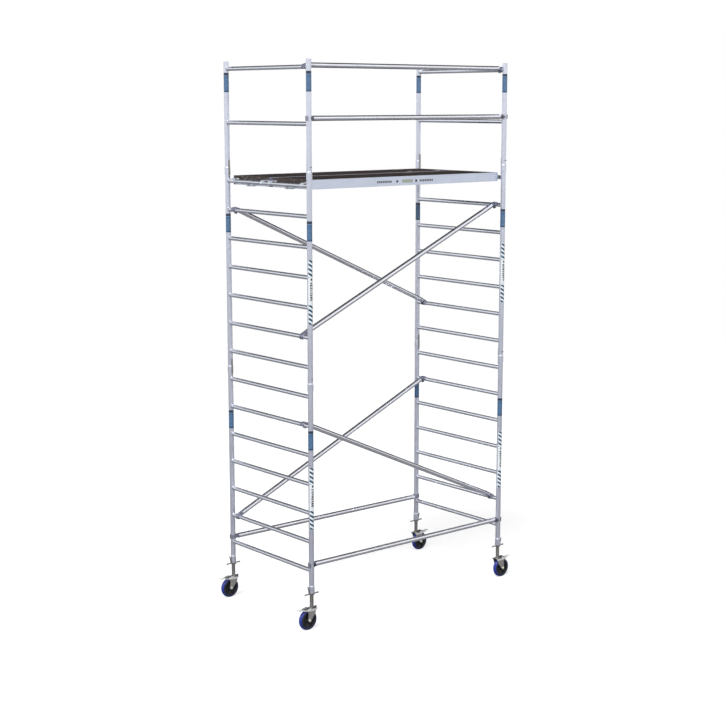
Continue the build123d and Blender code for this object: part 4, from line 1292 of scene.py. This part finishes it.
# ---------------------------------------------------------------- platform
@dataclass
class Platform:
    """The two decks, the trapdoor and the wind locks."""

    top: float = 4.269
    bottom: float = 4.181
    beam_end: float = 1.205
    end_start: float = 1.1645
    beam_width: float = 22.0 * MM
    inner_edge: float = 5.0 * MM
    outer_edge: float = 0.605
    cap_depth: float = 2.5 * MM
    rib_heights: tuple[float, ...] = (4.1905, 4.2565)
    rib_width: float = 3.0 * MM
    rib_depth: float = 0.6 * MM
    rib_rounding: float = 0.3 * MM
    cap_rounding: float = 0.8 * MM
    row_end: float = 1.12
    row_inset: float = 6.0 * MM
    hatch_start: float = 0.44
    top_margin: float = 0.1 * MM
    mark_depth: float = 0.12 * MM
    dash_rows: tuple[tuple[float, float, int], ...] = ((-0.402, -0.212, 8), (0.142, 0.322, 8))
    dash_rise: tuple[float, float] = (4.2115, 4.2325)
    dash_share: float = 0.68
    spot_eye: float = 0.02 * MM
    spots: tuple[float, float] = (-0.148, 0.096)
    spot_radius: float = 13.0 * MM
    plate: tuple[float, float, float, float] = (-0.086, 0.050, 4.206, 4.238)

    def caps(self) -> list[bpy.types.Mesh]:
        """Plastic caps on the beam ends."""
        made = []
        for s in SIDES.values():
            x0, x1 = sorted((s * self.beam_end, s * (self.beam_end + self.cap_depth)))
            for d in DEPTHS.values():
                for edge, inward in ((self.inner_edge, 1), (self.outer_edge, -1)):
                    y0, y1 = sorted((d * edge, d * (edge + inward * self.beam_width)))
                    made.append(box_mesh("cap", (x0, y0, self.bottom), (x1, y1, self.top), self.cap_rounding))
        return made

    def ribs(self) -> list[bpy.types.Mesh]:
        """Raised lines along the outer faces of the beams."""
        made = []
        for d in DEPTHS.values():
            y0, y1 = sorted((d * (self.outer_edge - self.rib_depth), d * (self.outer_edge + self.rib_depth)))
            for z in self.rib_heights:
                low = (-self.beam_end, y0, z - self.rib_width / 2)
                high = (self.beam_end, y1, z + self.rib_width / 2)
                made.append(box_mesh("rib", low, high, self.rib_rounding))
        return made

    def mark(self, x0: float, x1: float, z0: float, z1: float) -> bpy.types.Mesh:
        """A printed patch on the front beam."""
        y = -self.outer_edge
        return box_mesh("mark", (x0, y - self.mark_depth, z0), (x1, y + self.mark_depth, z1))

    def dashes(self, start: float, end: float, low: float, high: float, count: int) -> list[bpy.types.Mesh]:
        """A row of plain printed dashes.

        Args:
            start: where the row starts along X.
            end: where it ends.
            low: lower edge.
            high: upper edge.
            count: how many dashes.

        Returns:
            The dashes.
        """
        step = (end - start) / count
        starts = [start + step * i for i in range(count)]
        return [self.mark(x, x + step * self.dash_share, low, high) for x in starts]

    def disc(self, x: float, z: float, radius: float) -> bpy.types.Mesh:
        """A round printed spot on the front beam."""
        depth = self.mark_depth
        profile = [(self.spot_eye, -depth), (radius, -depth), (radius, depth), (self.spot_eye, depth)]
        turn = Matrix.Translation((x, -self.outer_edge, z)) @ Matrix.Rotation(math.pi / 2, 4, "X")
        return moved(lathe("spot", profile, 32), turn)

    def beam_or_end(self, place: Vector) -> int:
        """1 for a face of an end profile, between the side beams, and 0 for the rest."""
        inside = self.inner_edge + self.beam_width < abs(place.y) < self.outer_edge - self.beam_width
        return int(inside and abs(place.x) > self.end_start)

    def build(self, model: Model) -> None:
        """Dresses the decks and adds their caps, ribs, screw heads and marks."""
        for name in DEPTHS:
            model.dress(f"deck_frame_{name}", BEAM, END, choose=self.beam_or_end)
            model.dress(f"deck_panel_{name}", PLY)
            model.dress(f"wind_lock_{name}", RIVET)
        model.dress("deck_hooks", HOOK)
        model.dress("hatch_hinges", STEEL)
        model.dress("hatch_bail", STEEL)
        above = self.top + self.top_margin
        model.dress("hatch_panel", PLY, STEEL, choose=lambda place: int(place.z > above))
        model.add_joined("beam_caps", self.caps(), "guide_plastic", CAP)
        model.add_joined("beam_ribs", self.ribs(), "deck_aluminium", BEAM)
        near = self.inner_edge + self.beam_width + self.row_inset
        far = self.outer_edge - self.beam_width - self.row_inset
        rows = [(-self.row_end, -far, self.row_end), (-self.row_end, -near, self.row_end),
                (-self.row_end, far, self.row_end), (-self.row_end, near, self.hatch_start)]
        ends = [(x, y, self.top) for x0, y, x1 in rows for x in (x0, x1)]
        heads = head_tree(material(RIVET)).run("panel_rivets", points_mesh("rivet_rows", ends, True))
        model.add(heads, "root", "rivet_steel")
        marks = []
        for start, end, count in self.dash_rows:
            marks += self.dashes(start, end, *self.dash_rise, count)
        marks += [self.disc(x, sum(self.dash_rise) / 2, self.spot_radius) for x in self.spots]
        model.add_joined("beam_marks", marks, "guide_plastic", INK)
        plate = new_object("beam_plate", self.mark(*self.plate))
        model.add(plate, "root", "guide_plastic", PALE_INK)


# ---------------------------------------------------------------- studio
@dataclass
class Studio:
    """Pale floor, soft light and camera."""

    aim: Vec = (0.0, 0.082, 2.348)
    distance: float = 15.55
    azimuth: float = math.radians(-40.02)
    elevation: float = math.radians(9.737)
    lens: float = 75.58
    floor_radius: float = 40.0
    floor_drop: float = 0.3 * MM
    card_drop: float = 12.0 * MM
    sun_strength: float = 2.0
    sun_gloss: float = 0.25
    sun_spread: float = math.radians(22)
    sun_aim: Vec = (0.62, 0.30, -1.05)
    sensor: float = 36.0
    far_limit: float = 200.0
    floor_colour: Vec = (0.56, 0.56, 0.57)
    floor_glow: float = 0.64
    card_colour: Vec = (0.27, 0.27, 0.28)
    fade: tuple[float, float] = (4.0, 16.0)
    bright_sky: tuple[tuple[float, float], ...] = (
        (0.0, 1.0), (0.16, 1.0), (0.60, 1.12), (0.85, 0.30), (1.0, 0.15))
    dark_sky: tuple[tuple[float, float], ...] = ((0.0, 1.0), (0.11, 1.0), (0.20, 0.05), (1.0, 0.04))
    dark_side: tuple[float, float] = (0.10, 0.55)

    def camera(self) -> None:
        """Makes the camera."""
        level = math.cos(self.elevation)
        aim = Vector(self.aim)
        east, north = math.sin(self.azimuth) * level, -math.cos(self.azimuth) * level
        away = Vector((east, north, math.sin(self.elevation)))
        data = bpy.data.cameras.new("camera")
        data.lens = self.lens
        data.sensor_width = self.sensor
        data.clip_end = self.far_limit
        made = bpy.data.objects.new("camera", data)
        made.location = aim + away * self.distance
        made.rotation_euler = (-away).to_track_quat("-Z", "Y").to_euler()
        bpy.context.scene.collection.objects.link(made)
        bpy.context.scene.camera = made

    def world(self) -> None:
        """Makes the white surroundings: a bright sky that is dark above the far right side."""
        sky = Surroundings("studio")
        bpy.context.scene.world = sky.material
        view = sky.node("ShaderNodeTexCoord", {}, {}).outputs["Generated"]
        x, y, z = sky.xyz(Sock(sky, view))
        ramps = []
        for stops in (self.bright_sky, self.dark_sky):
            greys = [(height, (light, light, light)) for height, light in stops]
            ramps.append(Sock(sky, sky.node("ShaderNodeValToRGB", {"stops": greys}, {0: z}).outputs[0]))
        sky.feed(Color=sky.mix(sky.remap(x + y, *self.dark_side), *ramps))

    def sun(self) -> None:
        """Makes the one broad lamp."""
        data = bpy.data.lights.new("lamp", "SUN")
        data.energy = self.sun_strength
        data.angle = self.sun_spread
        data.specular_factor = self.sun_gloss
        made = bpy.data.objects.new("lamp", data)
        made.rotation_euler = Vector(self.sun_aim).to_track_quat("-Z", "Y").to_euler()
        bpy.context.scene.collection.objects.link(made)

    def disc(self, name: str, height: float, colour: Vec, glow: float = 0.0) -> tuple[Obj, Shader]:
        """A flat disc with a plain finish.

        Args:
            name: its name.
            height: its height.
            colour: its colour.
            glow: light of its own.

        Returns:
            The disc and its shader.
        """
        shape = bmesh.new()
        bmesh.ops.create_circle(shape, cap_ends=True, segments=96, radius=self.floor_radius)
        piece = new_object(name, moved(mesh_from(name, shape), Matrix.Translation((0, 0, height))))
        shader = Shader(name, {"Base Color": (*colour, 1.0), "Roughness": 0.9, "Specular IOR Level": 0.0,
                               "Emission Color": (1.0, 1.0, 1.0, 1.0), "Emission Strength": glow})
        piece.data.materials.append(shader.material)
        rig.stage(piece)
        return piece, shader

    def floor(self) -> None:
        """Makes the floor that is seen, which fades out, and the card that lights the undersides."""
        seen, shader = self.disc("floor", -self.floor_drop, self.floor_colour, self.floor_glow)
        seen.visible_glossy = seen.visible_diffuse = seen.visible_shadow = False
        place = shader.object_place()
        length = shader.node("ShaderNodeVectorMath", {"operation": "LENGTH"}, {0: place}).outputs["Value"]
        shader.feed(Alpha=shader.remap(Sock(shader, length), *self.fade, 1.0, 0.0))
        card, _ = self.disc("bounce_card", -self.card_drop, self.card_colour)
        card.visible_camera = False

    def build(self) -> None:
        """Makes the studio."""
        bpy.context.scene.view_settings.view_transform = "Standard"
        self.camera()
        self.world()
        self.sun()
        self.floor()


def main() -> None:
    """Loads the frame and builds each sub-assembly in order."""
    logging.basicConfig(level=logging.INFO, format="%(name)s: %(message)s")
    model = Model()
    Studio().build()
    LadderFrames().build(model)
    for name, side, depth in CORNERS:
        Castor(name, side, depth).build(model)
    Braces().build(model)
    Platform().build(model)
    model.write_sizes("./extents.json")


if __name__ == "__main__":
    main()
